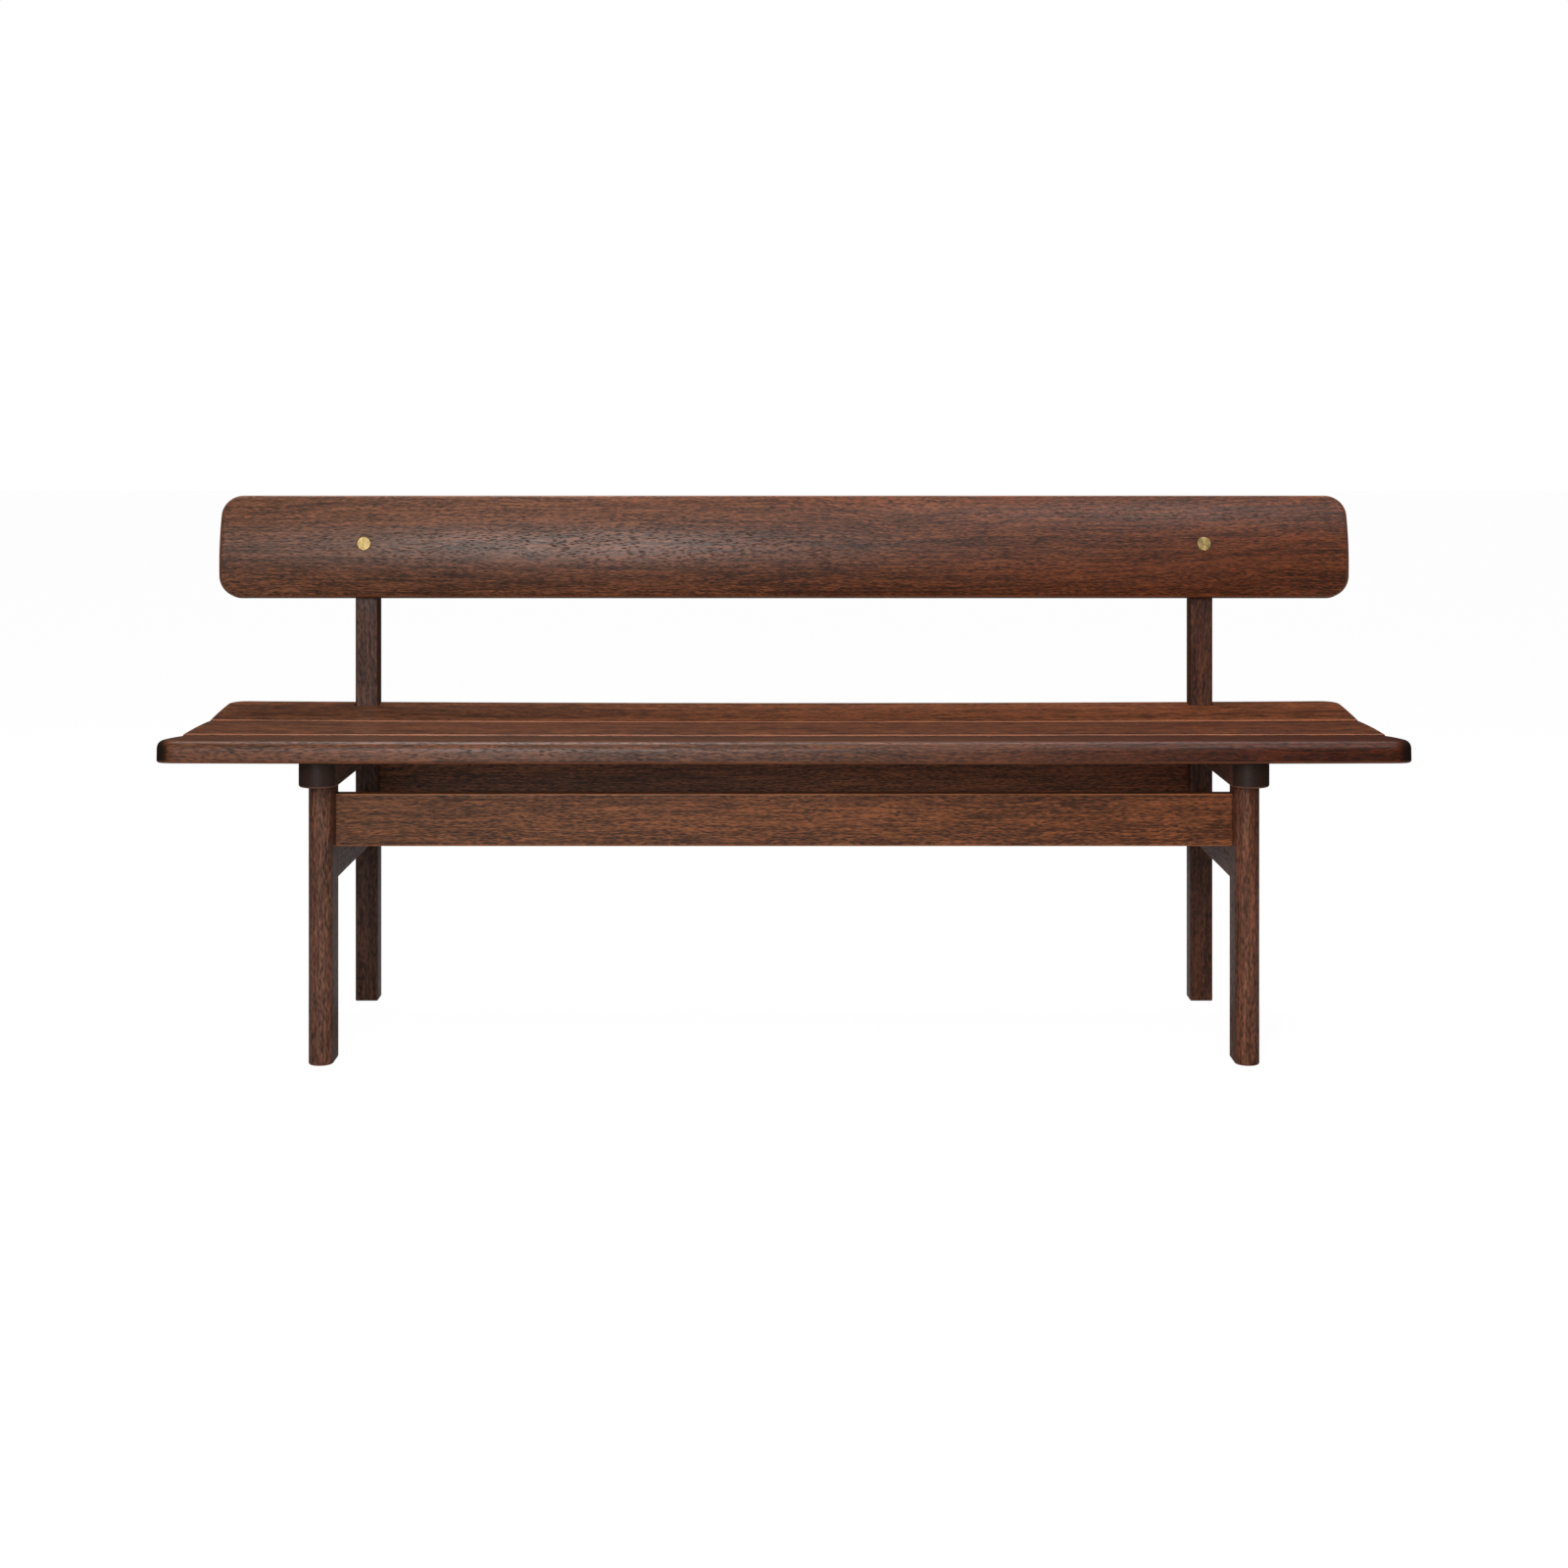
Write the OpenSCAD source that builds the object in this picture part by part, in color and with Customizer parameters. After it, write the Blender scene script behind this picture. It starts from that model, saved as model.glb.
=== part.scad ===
// Bench with a dished seat of three planks and one raked back board, on a jointed frame of
// legs, posts, bearers and rails.
// X runs along the bench, Y from front to back and Z up. The origin is on the floor, midway
// along the seat and midway between its front and rear edges.

/* [Seat] */
// Length of the seat planks
seat_len = 1650; // [1300:5:2000]
// Height of the middle plank's top above the floor
seat_h = 427.5; // [355:0.5:515]
// Depth of the seat that the front plank covers
front_run = 160; // [133:1:192]
// Depth of the seat that the middle plank covers
middle_run = 158; // [131:1:190]
// Depth of the seat that the rear plank covers
rear_run = 144; // [120:1:173]
// Gap between two planks at their top faces
plank_gap = 2; // [1:0.5:6]
// Thickness of the planks
plank_t = 31; // [25.5:0.5:37.5]
// Tilt of the front plank, up towards the front
front_tilt = 4.4; // [1:0.1:6]
// Tilt of the rear plank, up towards the rear
rear_tilt = 4.8; // [1:0.1:8]
// Radius of the outer corners of the seat, seen from above
corner_r = 26; // [10:1:40]
// Radius of the front plank's front top edge
front_edge_r = 12; // [4:1:13]
// Radius of the other long edges of the planks
edge_r = 4; // [1:0.5:6]

/* [Back board] */
// Length of the board past each end of the seat
board_past_seat = 5; // [0:1:40]
// Clear height between the middle plank's top and the board's lower edge
board_gap = 167.8; // [120:0.1:220]
// Height of the board along its back face
board_h = 151; // [110:1:185]
// Thickness of the board at the middle of its crown
board_t = 38; // [31:0.5:46]
// Height of the bolts along the board's back face
bolt_height = 77; // [60:0.5:95]
// Radius of the crowned front face
crown_r = 172; // [143:1:400]
// Radius of the board's four corners
board_corner_r = 30; // [10:1:45]
// Rake of the board, top towards the rear
rake = 10; // [2:0.5:14]
// Height above the board's lower edge where the posts' slanted face begins
slant_rise = 6; // [0:1:20]
// Height left between the top of the posts and the top of the board's back face
post_below_top = 13; // [5:1:25]

/* [Legs and posts] */
// Distance from each end of the seat to the middle of the legs
leg_inset = 207.6; // [170:0.1:260]
// Width of the legs and posts along the bench
leg_w = 33; // [27:0.5:40]
// Depth of the front legs, nose to back
leg_depth = 54; // [45:0.5:65]
// Depth of the rear posts
post_depth = 36; // [30:0.5:44]
// Distance from the bearer's nose to the nose of the leg below it
leg_setback = 28.5; // [22:0.5:40]

/* [Bearers] */
// Width of the bearers
bearer_w = 52; // [42:0.5:64]
// Thickness of the bearers under the middle plank
bearer_t = 24.3; // [20:0.1:34]
// Distance from the seat's front edge to the bearer's nose
nose_inset = 27; // [15:0.5:50]

/* [Rails] */
// Height of the front and rear rails
rail_h = 70.5; // [56:0.5:86]
// Thickness of the front rail
front_rail_t = 22; // [18:0.5:27]
// Thickness of the rear rail
rear_rail_t = 18; // [15:0.5:22]
// Clear height between the bearers and the front and rear rails
rail_drop = 15.2; // [8:0.1:30]
// Height of the side rails
side_rail_h = 70; // [56:0.5:86]
// Thickness of the side rails
side_rail_t = 22; // [18:0.5:27]
// Clear height between the bearers and the side rails
side_rail_drop = 66.2; // [50:0.1:90]

/* [Joints] */
// Thickness of every tenon
tenon_t = 10; // [8:0.5:12]
// Length of the rail and bearer tenons
tenon_len = 22; // [16:0.5:24]
// Width of the shoulder above and below a tenon
tenon_shoulder = 8; // [5:0.5:10]
// Height of the bearer's tenon
bearer_tenon_h = 18; // [12:0.5:20]
// Height of the tenon on top of the front leg
leg_tenon_h = 19; // [12:0.5:20]
// Depth of the tenon on top of the front leg
leg_tenon_depth = 24; // [16:0.5:26]
// Wood left between two tenons that enter one leg at right angles
tenon_spacing = 6; // [4:0.5:10]
// Clearance round a tenon in its mortise
mortise_fit = 0.15; // [0.1:0.05:0.3]
// Space past the end of a tenon
mortise_end = 1; // [0.5:0.5:2]
// Clearance of the rear plank round a post
notch_fit = 1; // [0.5:0.5:2]

/* [Hardware] */
// Diameter of the brass bolt's head
bolt_head_d = 20; // [16:0.5:24]
// Thickness of the bolt's head
bolt_head_t = 4; // [3:0.5:5]
// Depth of the head's face below the crown
bolt_head_sink = 0.4; // [0.2:0.1:1]
// Diameter of the bolt's shank
bolt_d = 8; // [6:0.5:9]
// Length of the shank inside the sleeve nut
bolt_grip = 9; // [6:0.5:10]
// Width of the screwdriver slots in the bolt and the sleeve nut
slot_w = 2; // [1.5:0.1:2.5]
// Depth of those slots
slot_depth = 1.6; // [1:0.1:2]
// Outer diameter of the sleeve nut's barrel
sleeve_d = 11.5; // [11:0.5:14]
// Length of the barrel
sleeve_len = 13; // [11:0.5:14]
// Diameter of the sleeve nut's head
sleeve_head_d = 17; // [16:0.5:19]
// Thickness of the sleeve nut's head
sleeve_head_t = 2.5; // [2:0.5:3]
// Diameter of the screws that hold the planks
screw_d = 5; // [4:0.5:6]
// Diameter of their heads
screw_head_d = 9.5; // [8:0.5:11]
// Thickness of their heads
screw_head_t = 3.5; // [2.5:0.5:4]
// Thickness of bearer that a screw clamps
screw_clamp = 16; // [10:0.5:18]
// Depth of a screw in its plank
screw_bite = 20; // [14:0.5:21]
// Distance of a screw from the long edge of its plank
screw_edge = 26; // [20:1:40]
// Distance of the foremost screw from the bearer's nose
screw_from_nose = 16; // [12:0.5:20]
// Clearance round bolts, nuts and screws in their holes
hole_fit = 0.4; // [0.3:0.1:0.8]
// Clearance of a thread in its hole
thread_fit = 0.05; // [0.05:0.05:0.1]

/* [Hidden] */
$fn = 64;
past = 1;         // how far a cut runs past the face it starts from
far = 400;        // reach of a cut that has to clear the whole profile
left = -1;
right = 1;

// Seat, front to back
seat_depth = front_run + middle_run + rear_run + 2 * plank_gap;
seat_front_y = -seat_depth / 2;
seat_rear_y = seat_depth / 2;
front_plank_inner_y = seat_front_y + front_run;
middle_front_y = front_plank_inner_y + plank_gap;
middle_rear_y = middle_front_y + middle_run;
rear_plank_inner_y = middle_rear_y + plank_gap;
front_plank_w = (front_run - plank_t * sin(front_tilt)) / cos(front_tilt);
rear_plank_w = (rear_run - plank_t * sin(rear_tilt)) / cos(rear_tilt);

// Frame
leg_x = seat_len / 2 - leg_inset;
bearer_bottom = seat_h - plank_t - bearer_t;
bearer_nose_y = seat_front_y + nose_inset;
leg_nose_y = bearer_nose_y + leg_setback;
leg_back_y = leg_nose_y + leg_depth;
post_front_y = seat_rear_y - post_depth;
leg_tenon_y = leg_back_y - (leg_depth - leg_w / 2) / 2;
rail_top = bearer_bottom - rail_drop;
rail_bottom = rail_top - rail_h;
side_rail_top = bearer_bottom - side_rail_drop;
side_rail_bottom = side_rail_top - side_rail_h;
rail_len = 2 * leg_x - leg_w;
side_rail_len = post_front_y - leg_back_y;
// Rails of the two directions share a leg, so their tenons stop short of this height
tenon_split = (rail_bottom + side_rail_top) / 2;
rail_tenon_bottom = max(rail_bottom + tenon_shoulder, tenon_split + tenon_spacing / 2);
rail_tenon_top = rail_top - tenon_shoulder;
side_tenon_bottom = side_rail_bottom + tenon_shoulder;
side_tenon_top = min(side_rail_top - tenon_shoulder, tenon_split - tenon_spacing / 2);

// Back board
board_len = seat_len + 2 * board_past_seat;
board_bottom = seat_h + board_gap;
board_bottom_y = post_front_y - slant_rise * tan(rake);
board_edge_t = board_t - crown_r + sqrt(crown_r * crown_r - board_h * board_h / 4);
post_top = board_bottom + board_h * cos(rake) - post_below_top;
sleeve_start = 1;  // depth in the post where the sleeve nut's barrel begins
sleeve_web = 1;    // brass between the sleeve nut's slot and the end of its thread
sleeve_end = sleeve_start + sleeve_len;
bolt_head_base = board_t - bolt_head_sink - bolt_head_t;
bolt_shank = bolt_head_base + sleeve_start + bolt_grip;
screw_point_d = 1; // diameter of a screw's blunt point

// Height of the planks' undersides over a place between front and rear
function front_under(y) =
    seat_h - plank_t / cos(front_tilt) + (front_plank_inner_y - y) * tan(front_tilt);
function rear_under(y) =
    seat_h - plank_t / cos(rear_tilt) + (y - rear_plank_inner_y) * tan(rear_tilt);
middle_under = seat_h - plank_t;
front_bend_y = front_plank_inner_y - plank_t * tan(front_tilt / 2);
rear_bend_y = rear_plank_inner_y + plank_t * tan(rear_tilt / 2);

// Screws of one bearer: place between front and rear, and height of the underside they enter
front_screws = [for (y = [bearer_nose_y + screw_from_nose, front_plank_inner_y - screw_edge])
    [y, front_under(y)]];
middle_screws = [for (y = [middle_front_y + screw_edge, middle_rear_y - screw_edge])
    [y, middle_under]];
rear_screws = [for (y = [rear_plank_inner_y + screw_edge, post_front_y - screw_edge])
    [y, rear_under(y)]];

// Extrudes a side profile, drawn as [y, z], along the bench and centres it
module along_bench(length) {
    translate([-length / 2, 0, 0])
        rotate([90, 0, 90])
            linear_extrude(length) children();
}

// Rectangle from [0, 0] with a radius for each corner, in the order
// [near the origin, far right, far top, left top]
module eased_rect(width, height, radii) {
    corners = [[0, 0], [width, 0], [width, height], [0, height]];
    inward = [[1, 1], [-1, 1], [-1, -1], [1, -1]];
    polygon([for (i = [0:3])
        for (step = (i % 2 == 0) ? [[0, 1], [1, 0]] : [[1, 0], [0, 1]])
            corners[i] + radii[i] * [inward[i].x * step.x, inward[i].y * step.y]]);
    for (i = [0:3])
        translate(corners[i] + radii[i] * inward[i]) circle(radii[i]);
}

// Moves a child drawn with its inner top edge on the X axis to the front plank's place
module at_front_plank() {
    translate([0, front_plank_inner_y, seat_h]) rotate([-front_tilt, 0, 0]) children();
}

// The same for the rear plank
module at_rear_plank() {
    translate([0, rear_plank_inner_y, seat_h]) rotate([rear_tilt, 0, 0]) children();
}

// Moves a child to the back board's lower back edge: X along the bench, Y back and Z up its back face
module at_board() {
    translate([0, board_bottom_y, board_bottom]) rotate([-rake, 0, 0]) children();
}

// Moves a child drawn along +Z to the bolt's axis, with its origin on the board's back face
// and +Z towards the front
module at_bolt(side) {
    translate([side * leg_x, 0, 0])
        at_board() translate([0, 0, bolt_height]) rotate([90, 0, 0]) children();
}

// Plan of the seat, with its rounded outer corners
module seat_plan() {
    translate([-seat_len / 2, seat_front_y])
        eased_rect(seat_len, seat_depth, [corner_r, corner_r, corner_r, corner_r]);
}

// Holes for one row of screws, going up from the places in the list
module screw_holes(screws, diameter, depth) {
    for (side = [left, right])
        for (place = screws)
            translate([side * leg_x, place[0], place[1] - past])
                cylinder(d = diameter, h = depth + past);
}

module seat_front_plank() {
    color("#4a2b20") difference() {
        intersection() {
            at_front_plank()
                translate([0, -front_plank_w, -plank_t])
                    along_bench(seat_len + 2 * past)
                        eased_rect(front_plank_w, plank_t, [edge_r, edge_r, edge_r, front_edge_r]);
            linear_extrude(far + seat_h) seat_plan();
        }
        screw_holes(front_screws, screw_d + 2 * thread_fit, screw_bite + past);
    }
}

module seat_middle_plank() {
    color("#4d2d21") difference() {
        translate([0, middle_front_y, seat_h - plank_t])
            along_bench(seat_len)
                eased_rect(middle_run, plank_t, [edge_r, edge_r, edge_r, edge_r]);
        screw_holes(middle_screws, screw_d + 2 * thread_fit, screw_bite + past);
    }
}

module seat_rear_plank() {
    color("#4a2b20") difference() {
        intersection() {
            at_rear_plank()
                translate([0, 0, -plank_t])
                    along_bench(seat_len + 2 * past)
                        eased_rect(rear_plank_w, plank_t, [edge_r, edge_r, edge_r, edge_r]);
            linear_extrude(far + seat_h) seat_plan();
        }
        screw_holes(rear_screws, screw_d + 2 * thread_fit, screw_bite + past);
        for (side = [left, right])
            translate([side * leg_x - leg_w / 2 - notch_fit, post_front_y - notch_fit, 0])
                cube([leg_w + 2 * notch_fit, far, far + seat_h]);
    }
}

module back_board() {
    color("#45271d") difference() {
        at_board() intersection() {
            along_bench(board_len + 2 * past)
                intersection() {
                    translate([-board_t, -past]) square([board_t, board_h + 2 * past]);
                    translate([crown_r - board_t, board_h / 2]) circle(crown_r, $fn = 180);
                }
            translate([-board_len / 2, 0, 0])
                rotate([90, 0, 0]) linear_extrude(board_t + past)
                    eased_rect(board_len, board_h, [for (i = [0:3]) board_corner_r]);
        }
        for (side = [left, right]) at_bolt(side) {
            translate([0, 0, -past])
                cylinder(d = bolt_d + 2 * hole_fit, h = board_t + past);
            translate([0, 0, bolt_head_base])
                cylinder(d = bolt_head_d + 2 * hole_fit, h = bolt_head_t + bolt_head_sink + past);
        }
    }
}

// Tenon drawn from its shoulder along +Z, or its mortise when grow is the clearance round it
module tenon(width, height, length, grow, extra) {
    translate([-width / 2 - grow, -height / 2 - grow, grow > 0 ? -past : 0])
        cube([width + 2 * grow, height + 2 * grow, length + extra + (grow > 0 ? past : 0)]);
}

// Tenon of the front rail at a leg's inner side, pointing outward
module front_rail_tenon(side, grow = 0, extra = 0) {
    translate([side * (leg_x - leg_w / 2), leg_back_y - front_rail_t / 2,
               (rail_tenon_bottom + rail_tenon_top) / 2])
        rotate([0, side * 90, 0])
            rotate([0, 0, 90])
                tenon(tenon_t, rail_tenon_top - rail_tenon_bottom, tenon_len, grow, extra);
}

// Tenon of the rear rail at a post's inner side, pointing outward
module rear_rail_tenon(side, grow = 0, extra = 0) {
    translate([side * (leg_x - leg_w / 2), seat_rear_y - rear_rail_t / 2,
               (rail_tenon_bottom + rail_tenon_top) / 2])
        rotate([0, side * 90, 0])
            rotate([0, 0, 90])
                tenon(tenon_t, rail_tenon_top - rail_tenon_bottom, tenon_len, grow, extra);
}

// Tenon of a side rail: direction is left (-1) for the leg's back, right (1) for the post's front
module side_rail_tenon(side, direction, grow = 0, extra = 0) {
    translate([side * leg_x, direction < 0 ? leg_back_y : post_front_y,
               (side_tenon_bottom + side_tenon_top) / 2])
        rotate([-direction * 90, 0, 0])
            tenon(tenon_t, side_tenon_top - side_tenon_bottom, tenon_len, grow, extra);
}

// Tenon of a bearer in the front of its post
module bearer_tenon(side, grow = 0, extra = 0) {
    translate([side * leg_x, post_front_y, bearer_bottom + tenon_shoulder + bearer_tenon_h / 2])
        rotate([-90, 0, 0])
            tenon(tenon_t, bearer_tenon_h, tenon_len, grow, extra);
}

// Tenon on top of a front leg, in the underside of the bearer
module leg_tenon(side, grow = 0, extra = 0) {
    translate([side * leg_x, leg_tenon_y, bearer_bottom])
        tenon(tenon_t, leg_tenon_depth, leg_tenon_h, grow, extra);
}

module front_leg(side) {
    color("#42261d") {
        difference() {
            translate([side * leg_x, 0, 0])
                linear_extrude(bearer_bottom) {
                    translate([0, leg_nose_y + leg_w / 2]) circle(d = leg_w);
                    translate([-leg_w / 2, leg_nose_y + leg_w / 2])
                        square([leg_w, leg_depth - leg_w / 2]);
                }
            front_rail_tenon(side, mortise_fit, mortise_end);
            side_rail_tenon(side, -1, mortise_fit, mortise_end);
        }
        leg_tenon(side);
    }
}

module rear_post(side) {
    color("#3a221b") difference() {
        translate([side * leg_x - leg_w / 2, post_front_y, 0])
            cube([leg_w, post_depth, post_top]);
        at_board() translate([-seat_len, -far, -far / 2])
            cube([2 * seat_len, far, board_h + far]);
        rear_rail_tenon(side, mortise_fit, mortise_end);
        side_rail_tenon(side, 1, mortise_fit, mortise_end);
        bearer_tenon(side, mortise_fit, mortise_end);
        at_bolt(side) {
            translate([0, 0, -far / 2]) cylinder(d = bolt_d + 2 * hole_fit, h = far / 2 + past);
            translate([0, 0, -sleeve_end])
                cylinder(d = sleeve_d + 2 * hole_fit, h = sleeve_len);
            translate([0, 0, -far / 2 - sleeve_end])
                cylinder(d = sleeve_head_d + 2 * hole_fit, h = far / 2);
        }
    }
}

// Bar under the seat: round nose at the front, top shaped to carry the three planks
module bearer(side) {
    flat_start_y = bearer_nose_y + bearer_w / 2;
    color("#40281f") {
        difference() {
            translate([side * leg_x, 0, 0])
                intersection() {
                    along_bench(bearer_w)
                        polygon([[bearer_nose_y, bearer_bottom],
                                 [post_front_y, bearer_bottom],
                                 [post_front_y, rear_under(post_front_y)],
                                 [rear_bend_y, middle_under],
                                 [front_bend_y, middle_under],
                                 [bearer_nose_y, front_under(bearer_nose_y)]]);
                    linear_extrude(far + seat_h) {
                        translate([0, flat_start_y]) circle(d = bearer_w);
                        translate([-bearer_w / 2, flat_start_y])
                            square([bearer_w, post_front_y - flat_start_y]);
                    }
                }
            leg_tenon(side, mortise_fit, mortise_end);
            for (place = concat(front_screws, middle_screws, rear_screws))
                translate([side * leg_x, place[0], 0]) {
                    cylinder(d = screw_d + 2 * hole_fit, h = far + seat_h);
                    cylinder(d = screw_head_d + 2 * hole_fit, h = place[1] - screw_clamp);
                }
        }
        bearer_tenon(side);
    }
}

module side_rail(side) {
    color("#3c231b") {
        translate([side * leg_x - side_rail_t / 2, leg_back_y, side_rail_bottom])
            cube([side_rail_t, side_rail_len, side_rail_h]);
        side_rail_tenon(side, -1);
        side_rail_tenon(side, 1);
    }
}

module front_rail() {
    color("#48291f") {
        translate([-rail_len / 2, leg_back_y - front_rail_t, rail_bottom])
            cube([rail_len, front_rail_t, rail_h]);
        for (side = [left, right]) front_rail_tenon(side);
    }
}

module rear_rail() {
    color("#33201a") {
        translate([-rail_len / 2, seat_rear_y - rear_rail_t, rail_bottom])
            cube([rail_len, rear_rail_t, rail_h]);
        for (side = [left, right]) rear_rail_tenon(side);
    }
}

// Slotted brass bolt through the board into the sleeve nut
module back_bolt(side) {
    color("#c9a24a") at_bolt(side) difference() {
        union() {
            translate([0, 0, bolt_head_base]) cylinder(d = bolt_head_d, h = bolt_head_t);
            translate([0, 0, bolt_head_base - bolt_shank])
                cylinder(d = bolt_d, h = bolt_shank + past);
        }
        translate([-slot_w / 2, -bolt_head_d, bolt_head_base + bolt_head_t - slot_depth])
            cube([slot_w, 2 * bolt_head_d, slot_depth + past]);
    }
}

// Slotted sleeve nut let into the post from behind, threaded on the bolt
module sleeve_nut(side) {
    color("#b8923f") at_bolt(side) difference() {
        union() {
            translate([0, 0, -sleeve_end - past])
                cylinder(d = sleeve_d, h = sleeve_len + past);
            translate([0, 0, -sleeve_end - sleeve_head_t])
                cylinder(d = sleeve_head_d, h = sleeve_head_t);
        }
        translate([0, 0, -sleeve_end - sleeve_head_t + slot_depth + sleeve_web])
            cylinder(d = bolt_d + 2 * thread_fit, h = far);
        translate([-sleeve_head_d, -slot_w / 2, -sleeve_end - sleeve_head_t - past])
            cube([2 * sleeve_head_d, slot_w, slot_depth + past]);
    }
}

// One row of screws on both bearers: head under the clamped wood, shank up into the plank
module plank_screws(screws) {
    tip = screw_d;
    color("#8d8f92")
        for (side = [left, right])
            for (place = screws)
                translate([side * leg_x, place[0], place[1] - screw_clamp]) {
                    translate([0, 0, -screw_head_t]) cylinder(d = screw_head_d, h = screw_head_t);
                    cylinder(d = screw_d, h = screw_clamp + screw_bite - tip);
                    translate([0, 0, screw_clamp + screw_bite - tip])
                        cylinder(d1 = screw_d, d2 = screw_point_d, h = tip);
                }
}

seat_front_plank();
seat_middle_plank();
seat_rear_plank();
back_board();
front_leg(left);  // left_front_leg
front_leg(right);  // right_front_leg
rear_post(left);  // left_rear_post
rear_post(right);  // right_rear_post
bearer(left);  // left_bearer
bearer(right);  // right_bearer
side_rail(left);  // left_side_rail
side_rail(right);  // right_side_rail
front_rail();
rear_rail();
back_bolt(left);  // left_back_bolt
back_bolt(right);  // right_back_bolt
sleeve_nut(left);  // left_sleeve_nut
sleeve_nut(right);  // right_sleeve_nut
plank_screws(front_screws);  // front_plank_screws
plank_screws(middle_screws);  // middle_plank_screws
plank_screws(rear_screws);  // rear_plank_screws
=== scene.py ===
"""Looks of an open bench pew: oiled hardwood seat, back board and frame, with turned brass bolts.

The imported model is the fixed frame. Each wooden piece is built again as a skin with rounded
arrises, a slight crown and sag, and its own mortises, tenons and holes. Lengths are in metres,
X runs along the bench, Y from front to back and Z up.
"""

import logging
import math
from dataclasses import dataclass, field, replace
from enum import Enum
from typing import Callable, Iterable, Sequence

import bmesh
import bpy
from mathutils import Matrix, Vector, noise


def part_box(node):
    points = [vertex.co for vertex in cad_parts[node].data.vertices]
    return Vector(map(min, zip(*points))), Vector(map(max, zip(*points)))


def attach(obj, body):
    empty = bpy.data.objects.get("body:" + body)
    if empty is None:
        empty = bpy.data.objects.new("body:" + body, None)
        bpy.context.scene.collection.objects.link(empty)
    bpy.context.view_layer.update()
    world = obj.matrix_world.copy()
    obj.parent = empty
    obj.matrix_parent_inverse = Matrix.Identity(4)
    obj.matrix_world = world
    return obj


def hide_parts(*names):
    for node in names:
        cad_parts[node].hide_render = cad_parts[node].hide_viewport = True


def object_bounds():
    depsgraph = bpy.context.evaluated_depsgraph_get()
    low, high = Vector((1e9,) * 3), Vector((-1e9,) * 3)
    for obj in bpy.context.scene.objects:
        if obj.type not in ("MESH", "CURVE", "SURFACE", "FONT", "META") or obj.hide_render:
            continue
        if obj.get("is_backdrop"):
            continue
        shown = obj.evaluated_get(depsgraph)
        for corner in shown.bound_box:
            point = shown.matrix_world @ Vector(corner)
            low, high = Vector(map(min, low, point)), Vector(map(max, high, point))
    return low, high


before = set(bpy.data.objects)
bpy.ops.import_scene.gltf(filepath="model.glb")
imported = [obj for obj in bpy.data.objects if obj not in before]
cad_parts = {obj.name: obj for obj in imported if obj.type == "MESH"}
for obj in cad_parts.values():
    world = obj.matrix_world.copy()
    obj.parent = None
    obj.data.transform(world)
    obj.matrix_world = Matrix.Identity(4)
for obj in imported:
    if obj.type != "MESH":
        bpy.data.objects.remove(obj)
CAD_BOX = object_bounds()

LOG = logging.getLogger("pew")
BODY = "root"
HIDDEN = 0.0003          # arris of an edge that closes against another piece
PAST = 0.001             # how far a cut runs past the face that it starts from
SIDES = (-1, 1)          # left and right ends of the bench
LEFT_RIGHT = {-1: "left", 1: "right"}
ARRIS = "arris"          # mesh attribute that marks the small rounded edges
NEAR = 1e-5              # closest that two courses or places are told apart
SHARP_EDGE = 0.9         # angle in radians above which an edge is eased
WAVES_ALONG = 9          # planing waves per metre along the grain
WAVES_ACROSS = 26        # planing waves per metre across it

Colour = tuple[float, float, float, float]
Places = Sequence[tuple[float, float]]


class Grain(Enum):
    """Way that the grain runs, and the turn that brings it onto X as Euler angles."""

    ALONG = ((1, 0, 0), (0.0, 0.0, 0.0))
    UPRIGHT = ((0, 0, 1), (0.0, math.pi / 2, 0.0))
    FRONT_TO_BACK = ((0, 1, 0), (0.0, 0.0, -math.pi / 2))

    @property
    def axis(self) -> tuple[int, int, int]:
        """Way that the grain runs."""
        return self.value[0]

    @property
    def turn(self) -> tuple[float, float, float]:
        """Turn that brings the grain onto X."""
        return self.value[1]


class Slot(Enum):
    """Material slots of the record."""

    SEAT = "seat_wood"
    BACK = "back_wood"
    FRAME = "frame_wood"
    BRASS = "turned_brass"
    STEEL = "screw_steel"


@dataclass(frozen=True)
class Span:
    """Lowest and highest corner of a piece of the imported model."""

    low: Vector
    high: Vector

    @classmethod
    def of(cls, node: str) -> "Span":
        """Span of a CAD node."""
        return cls(*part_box(node))

    @property
    def size(self) -> Vector:
        """Length of each side."""
        return self.high - self.low

    @property
    def centre(self) -> Vector:
        """Middle of the box."""
        return (self.low + self.high) / 2


def islands(node: str) -> list[Span]:
    """Finds the separate solids of a CAD node.

    Args:
        node: name of the node, such as a row of screws.

    Returns:
        The span of each solid, from left to right and front to back.
    """
    work = bmesh.new()
    work.from_mesh(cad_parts[node].data)
    bmesh.ops.remove_doubles(work, verts=work.verts, dist=1e-6)
    left = set(work.verts)
    found = []
    while left:
        edge_of_search = [left.pop()]
        members = list(edge_of_search)
        while edge_of_search:
            here = edge_of_search.pop()
            for edge in here.link_edges:
                other = edge.other_vert(here)
                if other in left:
                    left.discard(other)
                    members.append(other)
                    edge_of_search.append(other)
        places = [v.co for v in members]
        found.append(Span(Vector(map(min, *places)), Vector(map(max, *places))))
    work.free()
    return sorted(found, key=lambda s: (round(s.centre.x, 3), s.centre.y))


# ---------------------------------------------------------------------------------------------
# Meshes
# ---------------------------------------------------------------------------------------------


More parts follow.
